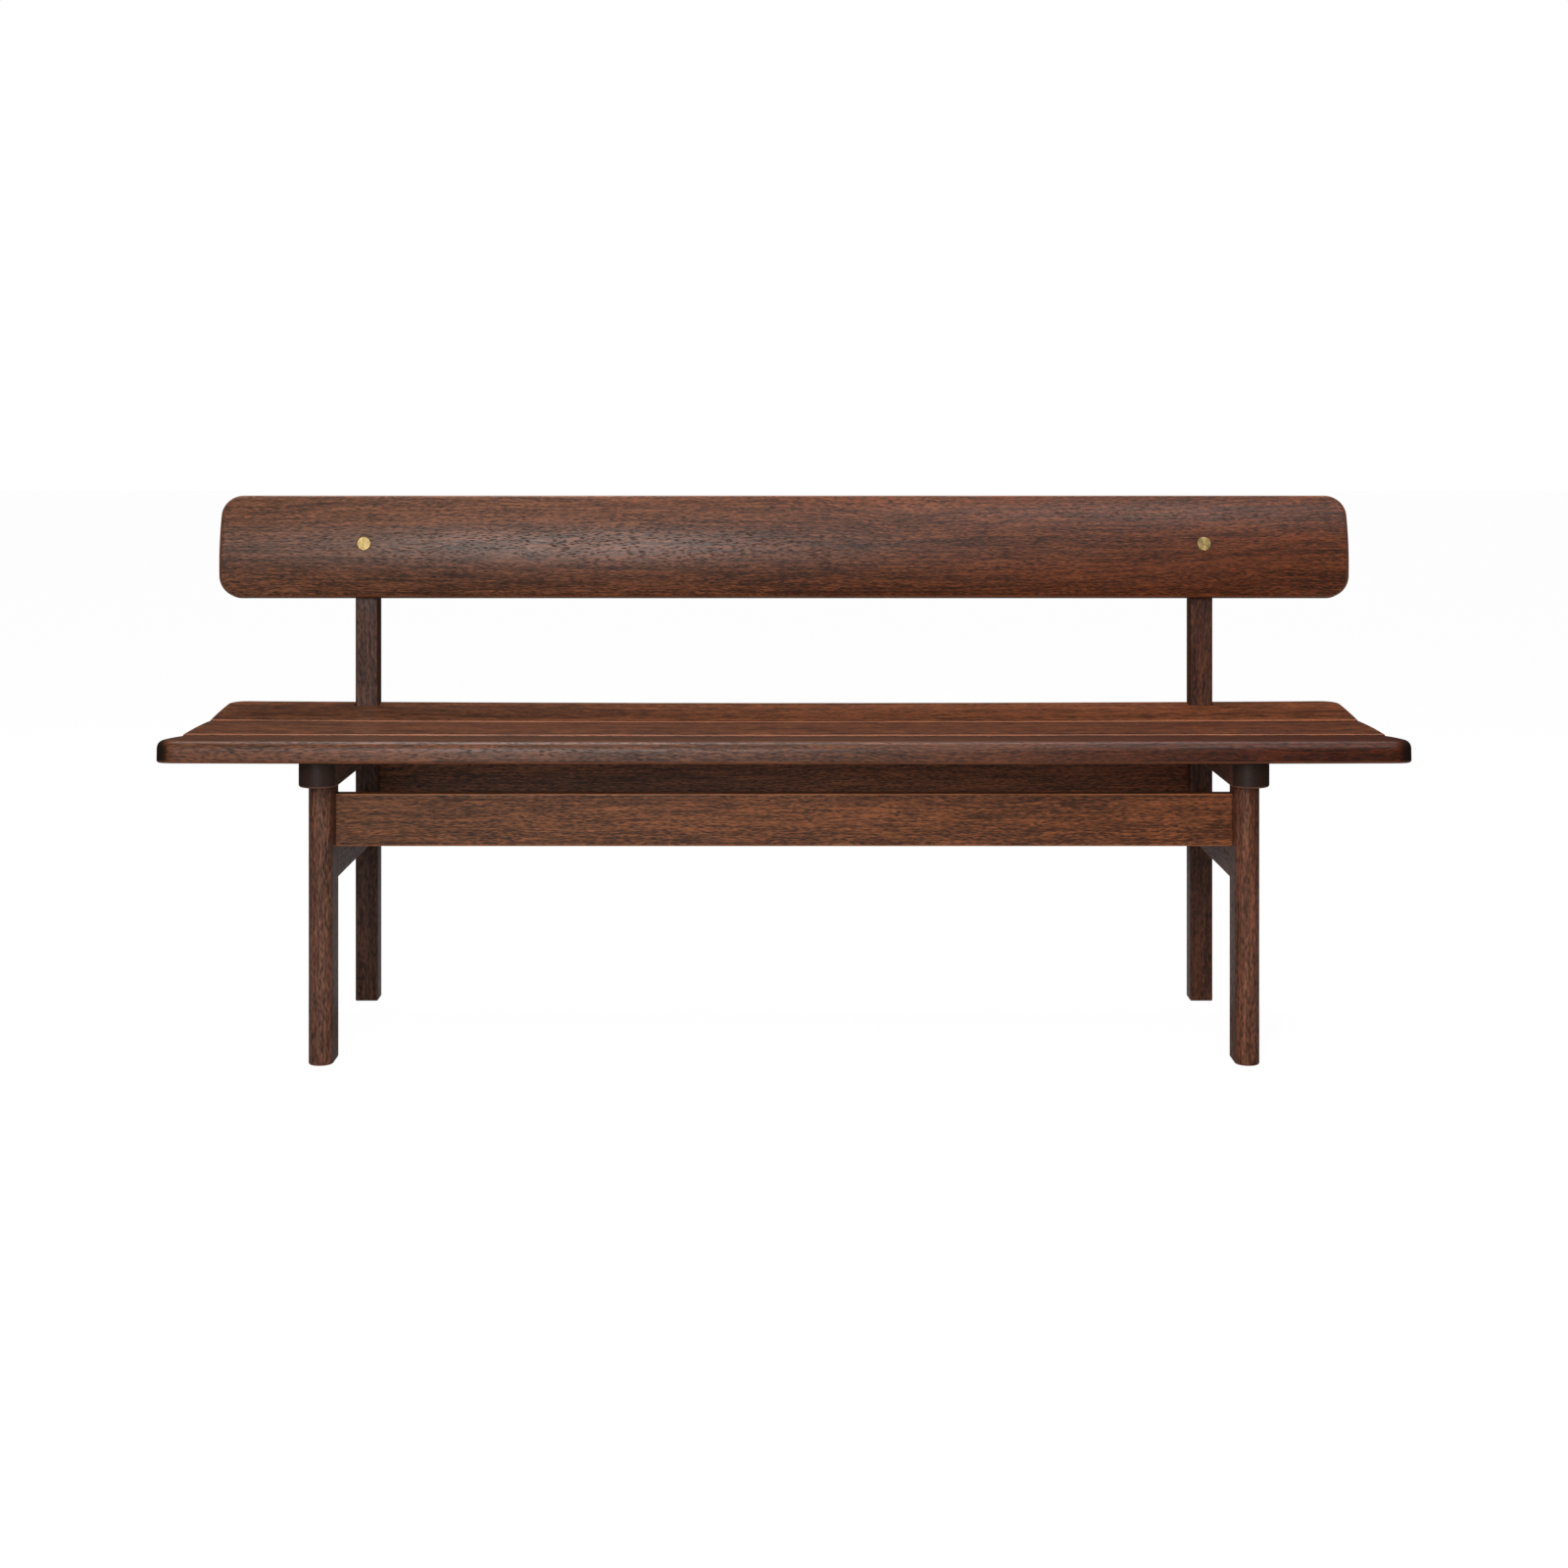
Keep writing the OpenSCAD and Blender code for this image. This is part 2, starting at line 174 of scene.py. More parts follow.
def mesh_object(name: str, places: Iterable[Vector], faces: Iterable[Sequence[int]],
                wear_and_highlight: Sequence[float] = ()) -> bpy.types.Object:
    """Makes an object from points and faces, with its normals outward.

    Args:
        name: name of the object.
        places: the points.
        faces: the points of each face, by number.
        wear_and_highlight: how much each point belongs to a small arris, which gets edge wear and a
            painted highlight, from 0 to 1.

    Returns:
        The object, linked to the scene.
    """
    mesh = bpy.data.meshes.new(name)
    mesh.from_pydata([tuple(p) for p in places], [], [tuple(f) for f in faces])
    work = bmesh.new()
    work.from_mesh(mesh)
    bmesh.ops.recalc_face_normals(work, faces=work.faces)
    work.to_mesh(mesh)
    work.free()
    if wear_and_highlight:
        mesh.attributes.new(ARRIS, "FLOAT", "POINT").data.foreach_set("value", wear_and_highlight)
    obj = bpy.data.objects.new(name, mesh)
    bpy.context.scene.collection.objects.link(obj)
    return obj


@dataclass
class Slab:
    """A piece with a rounded rectangular plan and rounded arrises, as a closed skin of quads.

    It is drawn with X centred on its length, Y from 0 across its width and Z from 0 up through
    its depth. Corners go front left, front right, back right, back left. Arrises go front,
    right, back, left.
    """

    length: float
    width: float
    depth: float
    corners: tuple[float, float, float, float]
    low_arris: tuple[float, float, float, float]
    high_arris: tuple[float, float, float, float]
    long_steps: int = 40
    cross_steps: int = 6
    arc_steps: int = 5
    arris_steps: int = 5
    levels: tuple[float, ...] = ()

    SMALLEST = 5e-5
    # Arrises up to about this radius get edge wear and a painted highlight.
    WEAR_AND_HIGHLIGHT_RADIUS = 0.006

    def ring(self, insets: Sequence[float]) -> list[list[tuple[float, float, float]]]:
        """Points of one outline, moved in from each side.

        Args:
            insets: distance in from the front, right, back and left.

        Returns:
            For each side its points as x, y and the direction that it faces there.
        """
        front, right, back, left = insets
        x_low, x_high = left - self.length / 2, self.length / 2 - right
        y_low, y_high = front, self.width - back
        spots = []
        for number, (x, y, in_x, in_y, way_x, way_y) in enumerate((
                (x_low, y_low, left, front, 1, 1), (x_high, y_low, right, front, -1, 1),
                (x_high, y_high, right, back, -1, -1), (x_low, y_high, left, back, 1, -1))):
            radius_x = max(self.corners[number] - in_x, self.SMALLEST)
            radius_y = max(self.corners[number] - in_y, self.SMALLEST)
            spots.append((x + way_x * radius_x, y + way_y * radius_y, radius_x, radius_y))

        def on_corner(number: int, turn: float) -> tuple[float, float, float]:
            """Point of a corner's arc that faces the direction turn."""
            x, y, radius_x, radius_y = spots[number]
            return x + radius_x * math.cos(turn), y + radius_y * math.sin(turn), turn

        sides = []
        quarter, eighth = math.pi / 2, math.pi / 4
        for side in range(4):
            facing = quarter * (side + 3)
            first, second = side, (side + 1) % 4
            steps = self.long_steps if side % 2 == 0 else self.cross_steps
            points = [on_corner(first, facing - eighth * (1 - i / self.arc_steps))
                      for i in range(self.arc_steps + 1)]
            start, end = points[-1], on_corner(second, facing)
            points += [(start[0] + (end[0] - start[0]) * i / steps,
                        start[1] + (end[1] - start[1]) * i / steps, facing) for i in range(1, steps)]
            points += [on_corner(second, facing + eighth * i / self.arc_steps)
                       for i in range(self.arc_steps + 1)]
            sides.append(points)
        return sides

    @staticmethod
    def arris_at(arris: Sequence[float], turn: float) -> float:
        """Radius of the arris where the outline faces a direction.

        Args:
            arris: radius on each side.
            turn: the direction, in radians from X.

        Returns:
            The radius, blended round the corners.
        """
        across = arris[1] if math.cos(turn) > 0 else arris[3]
        along = arris[2] if math.sin(turn) > 0 else arris[0]
        return across * math.cos(turn) ** 2 + along * math.sin(turn) ** 2

    def wear_and_highlight_shares(self, arris: Sequence[float], share: float) -> list[float]:
        """How much each point of a course belongs to a small arris, for edge wear and a painted
        highlight.

        Args:
            arris: radius on each side.
            share: 0 where the arris meets the wall, 1 where it meets the flat face.

        Returns:
            A value from 0 to 1 for each point.
        """
        most = math.sin(math.pi * share)
        values = []
        for points in self.ring((0.0,) * 4):
            for _, _, turn in points[:-1]:
                radius = self.arris_at(arris, turn)
                small = min(1.0, (self.WEAR_AND_HIGHLIGHT_RADIUS / max(radius, self.SMALLEST)) ** 2)
                values.append(most * small * (radius > 2 * HIDDEN))
        return values

    def course(self, arris: Sequence[float], share: float, high: bool) -> list[list[Vector]]:
        """Outline of one course of an arris.

        Args:
            arris: radius on each side.
            share: 0 where the arris meets the wall, 1 where it meets the flat face.
            high: whether it is the arris of the high face.

        Returns:
            The points of each side.
        """
        bend = share * math.pi / 2
        outline = self.ring([radius * (1 - math.cos(bend)) for radius in arris])
        sides = []
        for points in outline:
            placed = []
            for x, y, turn in points:
                from_face = self.arris_at(arris, turn) * (1 - math.sin(bend))
                placed.append(Vector((x, y, self.depth - from_face if high else from_face)))
            sides.append(placed)
        return sides

    @staticmethod
    def closed(sides: list[list[Vector]]) -> list[Vector]:
        """Joins the four sides of an outline into one loop."""
        return [point for side in sides for point in side[:-1]]

    @staticmethod
    def patch(sides: list[list[Vector]]) -> list[list[Vector]]:
        """Fills an outline with a grid.

        Args:
            sides: the points of each side.

        Returns:
            Rows of points from front to back, each from left to right.
        """
        front, right = sides[0], sides[1]
        back, left = sides[2][::-1], sides[3][::-1]
        wide, tall = len(front) - 1, len(right) - 1
        rows = []
        for j in range(tall + 1):
            v = j / tall
            row = []
            for i in range(wide + 1):
                u = i / wide
                edges = front[i] * (1 - v) + back[i] * v + left[j] * (1 - u) + right[j] * u
                left_end = front[0] * (1 - v) + back[0] * v
                right_end = front[-1] * (1 - v) + back[-1] * v
                row.append(edges - (left_end * (1 - u) + right_end * u))
            rows.append(row)
        return rows

    def build(self, name: str, shape: Callable[[Vector, float], Vector]) -> bpy.types.Object:
        """Builds the skin.

        Args:
            name: name of the object.
            shape: moves a point to its place, given the point and its share of the way from
                the low face to the high one.

        Returns:
            The object.
        """
        steps = self.arris_steps
        low = [self.course(self.low_arris, 1 - i / steps, False) for i in range(steps + 1)]
        high = [self.course(self.high_arris, i / steps, True) for i in range(steps + 1)]
        wear_and_highlight = [self.wear_and_highlight_shares(self.low_arris, 1 - i / steps) for i in range(steps + 1)]
        wear_and_highlight += [[0.0] * len(wear_and_highlight[0])] * len(self.levels)
        wear_and_highlight += [self.wear_and_highlight_shares(self.high_arris, i / steps) for i in range(steps + 1)]
        courses = [(self.closed(sides), 0.0) for sides in low]
        foot, head = self.closed(low[-1]), self.closed(high[0])
        for level in self.levels:
            share = level / self.depth
            courses.append(([a.lerp(b, (level - a.z) / (b.z - a.z)) for a, b in zip(foot, head)], share))
        courses += [(self.closed(sides), 1.0) for sides in high]
        places, faces = [], []
        count = len(foot)
        for loop, share in courses:
            places += [shape(point, share) for point in loop]
        for k in range(len(courses) - 1):
            for i in range(count):
                j = (i + 1) % count
                faces.append((k * count + i, k * count + j, (k + 1) * count + j, (k + 1) * count + i))
        for sides, share, base in ((low[0], 0.0, 0), (high[-1], 1.0, (len(courses) - 1) * count)):
            self.close_face(sides, share, base, shape, places, faces)
        marks = [value for course in wear_and_highlight for value in course]
        marks += [0.0] * (len(places) - len(marks))
        return mesh_object(name, places, faces, marks)

    def close_face(self, sides: list[list[Vector]], share: float, base: int,
                   shape: Callable[[Vector, float], Vector], places: list, faces: list) -> None:
        """Adds the grid that closes a flat face, on the points of its outline.

        Args:
            sides: outline of the face.
            share: 0 for the low face, 1 for the high one.
            base: number of the outline's first point in places.
            shape: moves a point to its place.
            places: points so far, added to.
            faces: faces so far, added to.
        """
        rows = self.patch(sides)
        tall, wide = len(rows) - 1, len(rows[0]) - 1
        number = {}
        for i in range(wide):
            number[0, i] = base + i
            number[tall, wide - i] = base + wide + tall + i
        for j in range(tall):
            number[j, wide] = base + wide + j
            number[tall - j, 0] = base + 2 * wide + tall + j
        for j in range(1, tall):
            for i in range(1, wide):
                number[j, i] = len(places)
                places.append(shape(rows[j][i], share))
        for j in range(tall):
            for i in range(wide):
                faces.append((number[j, i], number[j, i + 1], number[j + 1, i + 1], number[j + 1, i]))


def wander(point: Vector, amount: float, seed: float) -> float:
    """Hand-planed unevenness at a point, between -amount and amount."""
    place = Vector((point.x * WAVES_ALONG + seed, point.y * WAVES_ACROSS, point.z * WAVES_ACROSS))
    return amount * noise.noise(place)


def box_mesh(name: str, boxes: Sequence[Span]) -> bpy.types.Object:
    """Makes one object of plain boxes, for cutting with or for tenons.

    Args:
        name: name of the object.
        boxes: the boxes, apart from each other.

    Returns:
        The object.
    """
    places, faces = [], []
    for box in boxes:
        base = len(places)
        for x in (box.low.x, box.high.x):
            for y in (box.low.y, box.high.y):
                places += [Vector((x, y, box.low.z)), Vector((x, y, box.high.z))]
        faces += [tuple(base + i for i in corner) for corner in
                  ((0, 1, 3, 2), (4, 6, 7, 5), (0, 4, 5, 1), (2, 3, 7, 6), (0, 2, 6, 4), (1, 5, 7, 3))]
    return mesh_object(name, places, faces)


def turned(name: str, profile: Places, sides: int = 48,
           thread: Callable[[float, float], float] | None = None) -> bpy.types.Object:
    """Turns a profile round Z.

    Args:
        name: name of the object.
        profile: radius and height of each course, from one end to the other.
        sides: number of facets round the axis.
        thread: radius to take away at a height and an angle, if the surface has a thread.

    Returns:
        The object, closed at both ends.
    """
    places, faces = [], []
    for radius, height in profile:
        for i in range(sides):
            turn = 2 * math.pi * i / sides
            left = radius - (thread(height, turn) if thread else 0.0)
            places.append(Vector((left * math.cos(turn), left * math.sin(turn), height)))
    for k in range(len(profile) - 1):
        for i in range(sides):
            j = (i + 1) % sides
            faces.append((k * sides + i, k * sides + j, (k + 1) * sides + j, (k + 1) * sides + i))
    faces.append(tuple(range(sides)))
    faces.append(tuple(range((len(profile) - 1) * sides, len(profile) * sides)))
    return mesh_object(name, places, faces)


def joined(name: str, objects: Sequence[bpy.types.Object]) -> bpy.types.Object:
    """Joins objects into one mesh, each in its place, and removes them.

    Args:
        name: name of the new object.
        objects: the objects, with their places up to date.

    Returns:
        The new object, at the origin.
    """
    work = bmesh.new()
    for obj in objects:
        copy = obj.data.copy()
        copy.transform(obj.matrix_world)
        work.from_mesh(copy)
        bpy.data.meshes.remove(copy)
        bpy.data.objects.remove(obj)
    mesh = bpy.data.meshes.new(name)
    work.to_mesh(mesh)
    work.free()
    result = bpy.data.objects.new(name, mesh)
    bpy.context.scene.collection.objects.link(result)
    return result


def worked(obj: bpy.types.Object, operation: str, tool: bpy.types.Object) -> bpy.types.Object:
    """Cuts a tool out of an object or joins it on, and removes the tool.

    Args:
        obj: the piece.
        operation: "DIFFERENCE" or "UNION".
        tool: closed mesh of the cut or of the wood that is added.

    Returns:
        The piece.
    """
    step = obj.modifiers.new("work", "BOOLEAN")
    step.operation, step.solver, step.object = operation, "EXACT", tool
    bpy.context.view_layer.update()
    graph = bpy.context.evaluated_depsgraph_get()
    mesh = bpy.data.meshes.new_from_object(obj.evaluated_get(graph), depsgraph=graph)
    obj.modifiers.clear()
    old, obj.data = obj.data, mesh
    bpy.data.meshes.remove(old)
    bpy.data.objects.remove(tool)
    return obj


def bored(obj: bpy.types.Object, radius: float, start: float, end: float, place: Matrix,
          sides: int) -> bpy.types.Object:
    """Bores a round hole.

    Args:
        obj: the piece.
        radius: radius of the hole.
        start: height of its near end.
        end: height of its far end.
        place: frame whose Z is the axis of the hole.
        sides: number of facets round the axis.

    Returns:
        The piece.
    """
    bit = turned("bit", ((radius, start), (radius, end)), sides)
    bit.matrix_world = place
    bpy.context.view_layer.update()
    return worked(obj, "DIFFERENCE", bit)


def ease(obj: bpy.types.Object, near: Callable[[Vector], bool], width: float) -> None:
    """Rounds the sharp edges whose both ends are near a place.

    Args:
        obj: the piece.
        near: says whether a point belongs to the edges.
        width: radius of the rounding.
    """
    work = bmesh.new()
    work.from_mesh(obj.data)
    sharp = [e for e in work.edges if len(e.link_faces) == 2 and e.calc_face_angle() > SHARP_EDGE
             and near(e.verts[0].co) and near(e.verts[1].co)]
    bmesh.ops.bevel(work, geom=sharp, offset=width, segments=2, affect="EDGES", profile=0.5)
    work.to_mesh(obj.data)
    work.free()


def smooth(obj: bpy.types.Object, sharp_above: float = 40.0) -> None:
    """Shades a mesh smooth, with flat faces kept flat.

    Args:
        obj: the piece.
        sharp_above: angle in degrees above which an edge stays sharp.
    """
    obj.data.shade_smooth()
    obj.data.set_sharp_from_angle(angle=math.radians(sharp_above))
    weigh = obj.modifiers.new("weigh normals", "WEIGHTED_NORMAL")
    weigh.keep_sharp = True
    weigh.weight = 80


# ---------------------------------------------------------------------------------------------
# Shader trees
# ---------------------------------------------------------------------------------------------


class Shading:
    """A shader tree with short ways to add and join its nodes."""

    ROW = 8

    def __init__(self, tree: bpy.types.NodeTree) -> None:
        """Starts from an empty tree."""
        self.tree = tree
        tree.nodes.clear()

    def add(self, kind: str, inputs: dict | None = None, **settings: object) -> bpy.types.Node:
        """Adds a node.

        Args:
            kind: its type, without the leading ShaderNode.
            inputs: by name or number, a socket to link from or a value to set.
            settings: attributes of the node.

        Returns:
            The node.
        """
        prefix = "" if kind.startswith("NodeGroup") else "ShaderNode"
        node = self.tree.nodes.new(prefix + kind)
        count = len(self.tree.nodes) - 1
        node.location = (200 * (count % self.ROW), -260 * (count // self.ROW))
        for name, value in settings.items():
            setattr(node, name, value)
        for name, value in (inputs or {}).items():
            if isinstance(value, bpy.types.NodeSocket):
                self.tree.links.new(value, node.inputs[name])
            else:
                node.inputs[name].default_value = value
        return node

    def maths(self, operation: str, *values: object, clamp: bool = False) -> bpy.types.NodeSocket:
        """Adds a Math node and returns its result."""
        node = self.add("Math", dict(enumerate(values)), operation=operation, use_clamp=clamp)
        return node.outputs[0]

    def vector(self, operation: str, *values: object) -> bpy.types.NodeSocket:
        """Adds a Vector Math node and returns its vector."""
        return self.add("VectorMath", dict(enumerate(values)), operation=operation).outputs[0]

    def mixed(self, share: object, first: object, second: object,
              blend: str = "MIX") -> bpy.types.NodeSocket:
        """Mixes two colours by a share of the second."""
        node = self.add("Mix", {0: share, 6: first, 7: second}, data_type="RGBA", blend_type=blend)
        return node.outputs[2]

    def ranged(self, value: object, low: float, high: float, to_low: float = 0.0,
               to_high: float = 1.0) -> bpy.types.NodeSocket:
        """Maps a value smoothly from one range onto another, and stays within it.

        Args:
            value: the value.
            low: start of its range.
            high: end of its range.
            to_low: result at the start.
            to_high: result at the end.

        Returns:
            The result.
        """
        node = self.add("MapRange", {0: value, 1: low, 2: high, 3: to_low, 4: to_high},
                        interpolation_type="SMOOTHSTEP")
        return node.outputs[0]

    def noise(self, place: object, stretch: tuple[float, float, float], detail: float = 2.0,
              rough: float = 0.5) -> bpy.types.NodeSocket:
        """Noise from 0 to 1 with its own scale on each axis.

        Args:
            place: where it is read.
            stretch: cells per metre on each axis.
            detail: number of finer octaves.
            rough: how much the finer ones weigh.

        Returns:
            The value.
        """
        scaled = self.vector("MULTIPLY", place, stretch)
        node = self.add("TexNoise", {"Vector": scaled, "Scale": 1.0, "Detail": detail,
                                     "Roughness": rough})
        return node.outputs["Fac"]


class SharedEffect:
    """A node group that several finishes use, built the first time that it is placed."""

    name = ""
    takes: tuple[tuple[str, str, object], ...] = ()
    gives: tuple[tuple[str, str], ...] = ()

    def build(self, tree: Shading, take: bpy.types.Node) -> dict[str, object]:
        """Builds the nodes and returns the socket behind each output."""
        raise NotImplementedError

    def group(self) -> bpy.types.NodeTree:
        """Finds the effect's node group, or builds it.

        Returns:
            The node group.
        """
        known = bpy.data.node_groups.get(self.name)
        if known:
            return known
        group = bpy.data.node_groups.new(self.name, "ShaderNodeTree")
        for label, kind, default in self.takes:
            socket = group.interface.new_socket(name=label, in_out="INPUT",
                                                socket_type="NodeSocket" + kind)
            socket.default_value = default
        for label, kind in self.gives:
            group.interface.new_socket(name=label, in_out="OUTPUT", socket_type="NodeSocket" + kind)
        tree = Shading(group)
        results = self.build(tree, tree.add("NodeGroupInput"))
        tree.add("NodeGroupOutput", results)
        return group

    def place(self, tree: Shading, **values: object) -> bpy.types.Node:
        """Puts the group in a material.

        Args:
            tree: the material's tree.
            values: its inputs, by name with _ for a space.

        Returns:
            The group node.
        """
        node = tree.add("Group", node_tree=self.group())
        for name, value in values.items():
            socket = node.inputs[name.replace("_", " ")]
            if isinstance(value, bpy.types.NodeSocket):
                tree.tree.links.new(value, socket)
            else:
                socket.default_value = value
        return node


class TimberGrain(SharedEffect):
    """Tone and relief of sawn timber whose grain runs along X."""

    name = "timber grain"
    takes = (("Vector", "Vector", (0, 0, 0)), ("Dark", "Color", (0, 0, 0, 1)),
             ("Middle", "Color", (0, 0, 0, 1)), ("Light", "Color", (0, 0, 0, 1)),
             ("Figure", "Float", 1.0), ("Fibre", "Float", 1.0), ("Mottle", "Float", 0.4))
    gives = (("Color", "Color"), ("Height", "Float"), ("Place", "Vector"))

    # Cells per metre along and across the grain.
    DRIFT = (1.6, 5.0, 5.0)
    CURL = (7.0, 16.0, 16.0)
    BANDS = (1.3, 30.0, 26.0)
    MOTTLE = (30.0, 75.0, 75.0)
    STREAKS = (9.0, 330.0, 280.0)
    FIBRES = (95.0, 900.0, 900.0)
    # How far drift and curl bend the grain, in metres, and how strong streaks and fibres are.
    DRIFT_BY, CURL_BY = 0.05, 0.008
    STREAK_GAIN, FIBRE_GAIN = 2.0, 2.4

    def build(self, tree: Shading, take: bpy.types.Node) -> dict[str, object]:
        """Bends the grain a little, then adds bands, streaks and fibres.

        Args:
            tree: tree of the group.
            take: the group's inputs.

        Returns:
            The socket behind each output.
        """
        place = take.outputs["Vector"]
        drift = tree.noise(place, self.DRIFT, 2.0)
        curl = tree.noise(place, self.CURL, 1.0)
        bend = tree.maths("ADD", tree.maths("MULTIPLY", drift, self.DRIFT_BY),
                          tree.maths("MULTIPLY", curl, self.CURL_BY))
        place = tree.vector("ADD", place, tree.add("CombineXYZ", {1: bend, 2: bend}).outputs[0])
        bands = tree.noise(place, self.BANDS, 3.0, 0.6)
        mottle = tree.noise(place, self.MOTTLE, 4.0, 0.8)
        streaks = tree.noise(place, self.STREAKS, 3.0, 0.7)
        fibres = tree.noise(place, self.FIBRES, 2.0, 0.6)
        figure = tree.maths("MULTIPLY", tree.maths("SUBTRACT", bands, 0.5), take.outputs["Figure"])
        fine = tree.maths("MULTIPLY", tree.maths("SUBTRACT", fibres, 0.5), take.outputs["Fibre"])
        tone = tree.maths("MULTIPLY_ADD", figure, 1.0, 0.5)
        mottle = tree.maths("MULTIPLY", tree.maths("SUBTRACT", mottle, 0.5), take.outputs["Mottle"])
        tone = tree.maths("ADD", tone, mottle)
        tone = tree.maths("MULTIPLY_ADD", tree.maths("SUBTRACT", streaks, 0.5), self.STREAK_GAIN, tone)
        tone = tree.maths("MULTIPLY_ADD", fine, self.FIBRE_GAIN, tone, clamp=True)
        colour = tree.mixed(tree.ranged(tone, 0.05, 0.55), take.outputs["Dark"], take.outputs["Middle"])
        colour = tree.mixed(tree.ranged(tone, 0.45, 0.98), colour, take.outputs["Light"])
        return {"Color": colour, "Height": fibres, "Place": place}


class OpenPores(SharedEffect):
    """Short open vessels along the grain."""

    name = "open pores"
    takes = (("Vector", "Vector", (0, 0, 0)), ("Density", "Float", 0.5))
    gives = (("Mask", "Float"),)
    VESSELS = (88.0, 640.0, 640.0)      # cells per metre along and across the grain
    REGIONS = (5.0, 70.0, 70.0)
    OPENNESS = 6.0                      # how quickly a region goes from closed to open

    def build(self, tree: Shading, take: bpy.types.Node) -> dict[str, object]:
        """Cells stretched along the grain, kept where the wood is open.

        Args:
            tree: tree of the group.
            take: the group's inputs.

        Returns:
            The socket behind each output.
        """
        scaled = tree.vector("MULTIPLY", take.outputs["Vector"], self.VESSELS)
        cells = tree.add("TexVoronoi", {"Vector": scaled, "Scale": 1.0, "Randomness": 1.0})
        dashes = tree.ranged(cells.outputs["Distance"], 0.22, 0.46, 1.0, 0.0)
        where = tree.noise(take.outputs["Vector"], self.REGIONS, 2.0)
        edge = tree.maths("MULTIPLY", tree.maths("SUBTRACT", 0.95, take.outputs["Density"]), 0.8)
        kept = tree.maths("MULTIPLY", tree.maths("SUBTRACT", where, edge), self.OPENNESS, clamp=True)
        return {"Mask": tree.maths("MULTIPLY", dashes, kept, clamp=True)}


class EndGrain(SharedEffect):
    """Faces that cut across the fibres."""

    name = "end grain"
    takes = (("Axis", "Vector", (1, 0, 0)),)
    gives = (("Mask", "Float"),)
    STARTS, FULL = 0.08, 0.5            # cosines between which the end grain shows

    def build(self, tree: Shading, take: bpy.types.Node) -> dict[str, object]:
        """How squarely the face looks along the grain.

        Args:
            tree: tree of the group.
            take: the group's inputs.

        Returns:
            The socket behind each output.
        """
        facing = tree.add("NewGeometry").outputs["Normal"]
        along = tree.add("VectorMath", {0: facing, 1: take.outputs["Axis"]}, operation="DOT_PRODUCT")
        squareness = tree.maths("ABSOLUTE", along.outputs["Value"])
        return {"Mask": tree.ranged(squareness, self.STARTS, self.FULL)}


class ArrisWearAndHighlight(SharedEffect):
    """Small arrises lightened by real wear from hands and cloths and by a painted highlight where the
    lamps catch them, broken up by the grain.
    """

    name = "arris wear and painted highlight"
    takes = (("Vector", "Vector", (0, 0, 0)), ("Amount", "Float", 0.5))
    gives = (("Mask", "Float"),)
    PATCHES = (9.0, 60.0, 60.0)
    LEFT_ALONE = 0.3                    # share of the wear and painted highlight that the least worn patches keep

    def build(self, tree: Shading, take: bpy.types.Node) -> dict[str, object]:
        """Small arrises, with patches left alone.

        Args:
            tree: tree of the group.
            take: the group's inputs.

        Returns:
            The socket behind each output.
        """
        edge = tree.ranged(tree.add("Attribute", attribute_name=ARRIS).outputs["Fac"], 0.1, 0.9)
        patches = tree.noise(take.outputs["Vector"], self.PATCHES, 3.0)
        patches = tree.ranged(patches, 0.15, 0.7, self.LEFT_ALONE, 1.0)
        wear_and_highlight = tree.maths("MULTIPLY", edge, patches)
        return {"Mask": tree.maths("MULTIPLY", wear_and_highlight, take.outputs["Amount"], clamp=True)}


class SatinPatches(SharedEffect):
    """Roughness that wanders between two values, as a wiped oil finish does."""

    name = "satin patches"
    takes = (("Vector", "Vector", (0, 0, 0)), ("Low", "Float", 0.3), ("High", "Float", 0.4))
    gives = (("Roughness", "Float"),)
    BROAD = (5.0, 22.0, 22.0)
    WIPES = (3.0, 160.0, 160.0)
    WIPE_SHARE = 0.4

    def build(self, tree: Shading, take: bpy.types.Node) -> dict[str, object]:
        """Broad patches with finer wipe marks along the grain.

        Args:
            tree: tree of the group.
            take: the group's inputs.

        Returns:
            The socket behind each output.
        """
        broad = tree.maths("MULTIPLY", tree.noise(take.outputs["Vector"], self.BROAD, 2.0),
                           1 - self.WIPE_SHARE)
        wipes = tree.noise(take.outputs["Vector"], self.WIPES, 2.0)
        share = tree.ranged(tree.maths("MULTIPLY_ADD", wipes, self.WIPE_SHARE, broad), 0.3, 0.7)
        spread = tree.maths("SUBTRACT", take.outputs["High"], take.outputs["Low"])
        return {"Roughness": tree.maths("MULTIPLY_ADD", share, spread, take.outputs["Low"])}


class FineScratches(SharedEffect):
    """A few hairline scratches, slanting across the grain."""

    name = "fine scratches"
    takes = (("Vector", "Vector", (0, 0, 0)), ("Amount", "Float", 0.5))
    gives = (("Mask", "Float"),)
    # Slant of each set in radians, and its cells per metre.
    SETS = ((0.35, (9.0, 260.0, 90.0)), (-0.6, (12.0, 310.0, 110.0)))
    REGIONS = (6.0, 14.0, 14.0)
    THICKNESS = 0.012

    def build(self, tree: Shading, take: bpy.types.Node) -> dict[str, object]:
        """Thin ridges of two slanted noises.

        Args:
            tree: tree of the group.
            take: the group's inputs.

        Returns:
            The socket behind each output.
        """
        found = None
        for slant, stretch in self.SETS:
            place = tree.add("VectorRotate", {"Vector": take.outputs["Vector"], "Angle": slant},
                             rotation_type="Z_AXIS").outputs[0]
            ridge = tree.maths("SUBTRACT", tree.noise(place, stretch, 0.0), 0.5)
            line = tree.ranged(tree.maths("ABSOLUTE", ridge), 0.0, self.THICKNESS, 1.0, 0.0)
            where = tree.ranged(tree.noise(place, self.REGIONS, 1.0), 0.62, 0.70)
            line = tree.maths("MULTIPLY", line, where)
            found = line if found is None else tree.maths("MAXIMUM", found, line)
        return {"Mask": tree.maths("MULTIPLY", found, take.outputs["Amount"], clamp=True)}


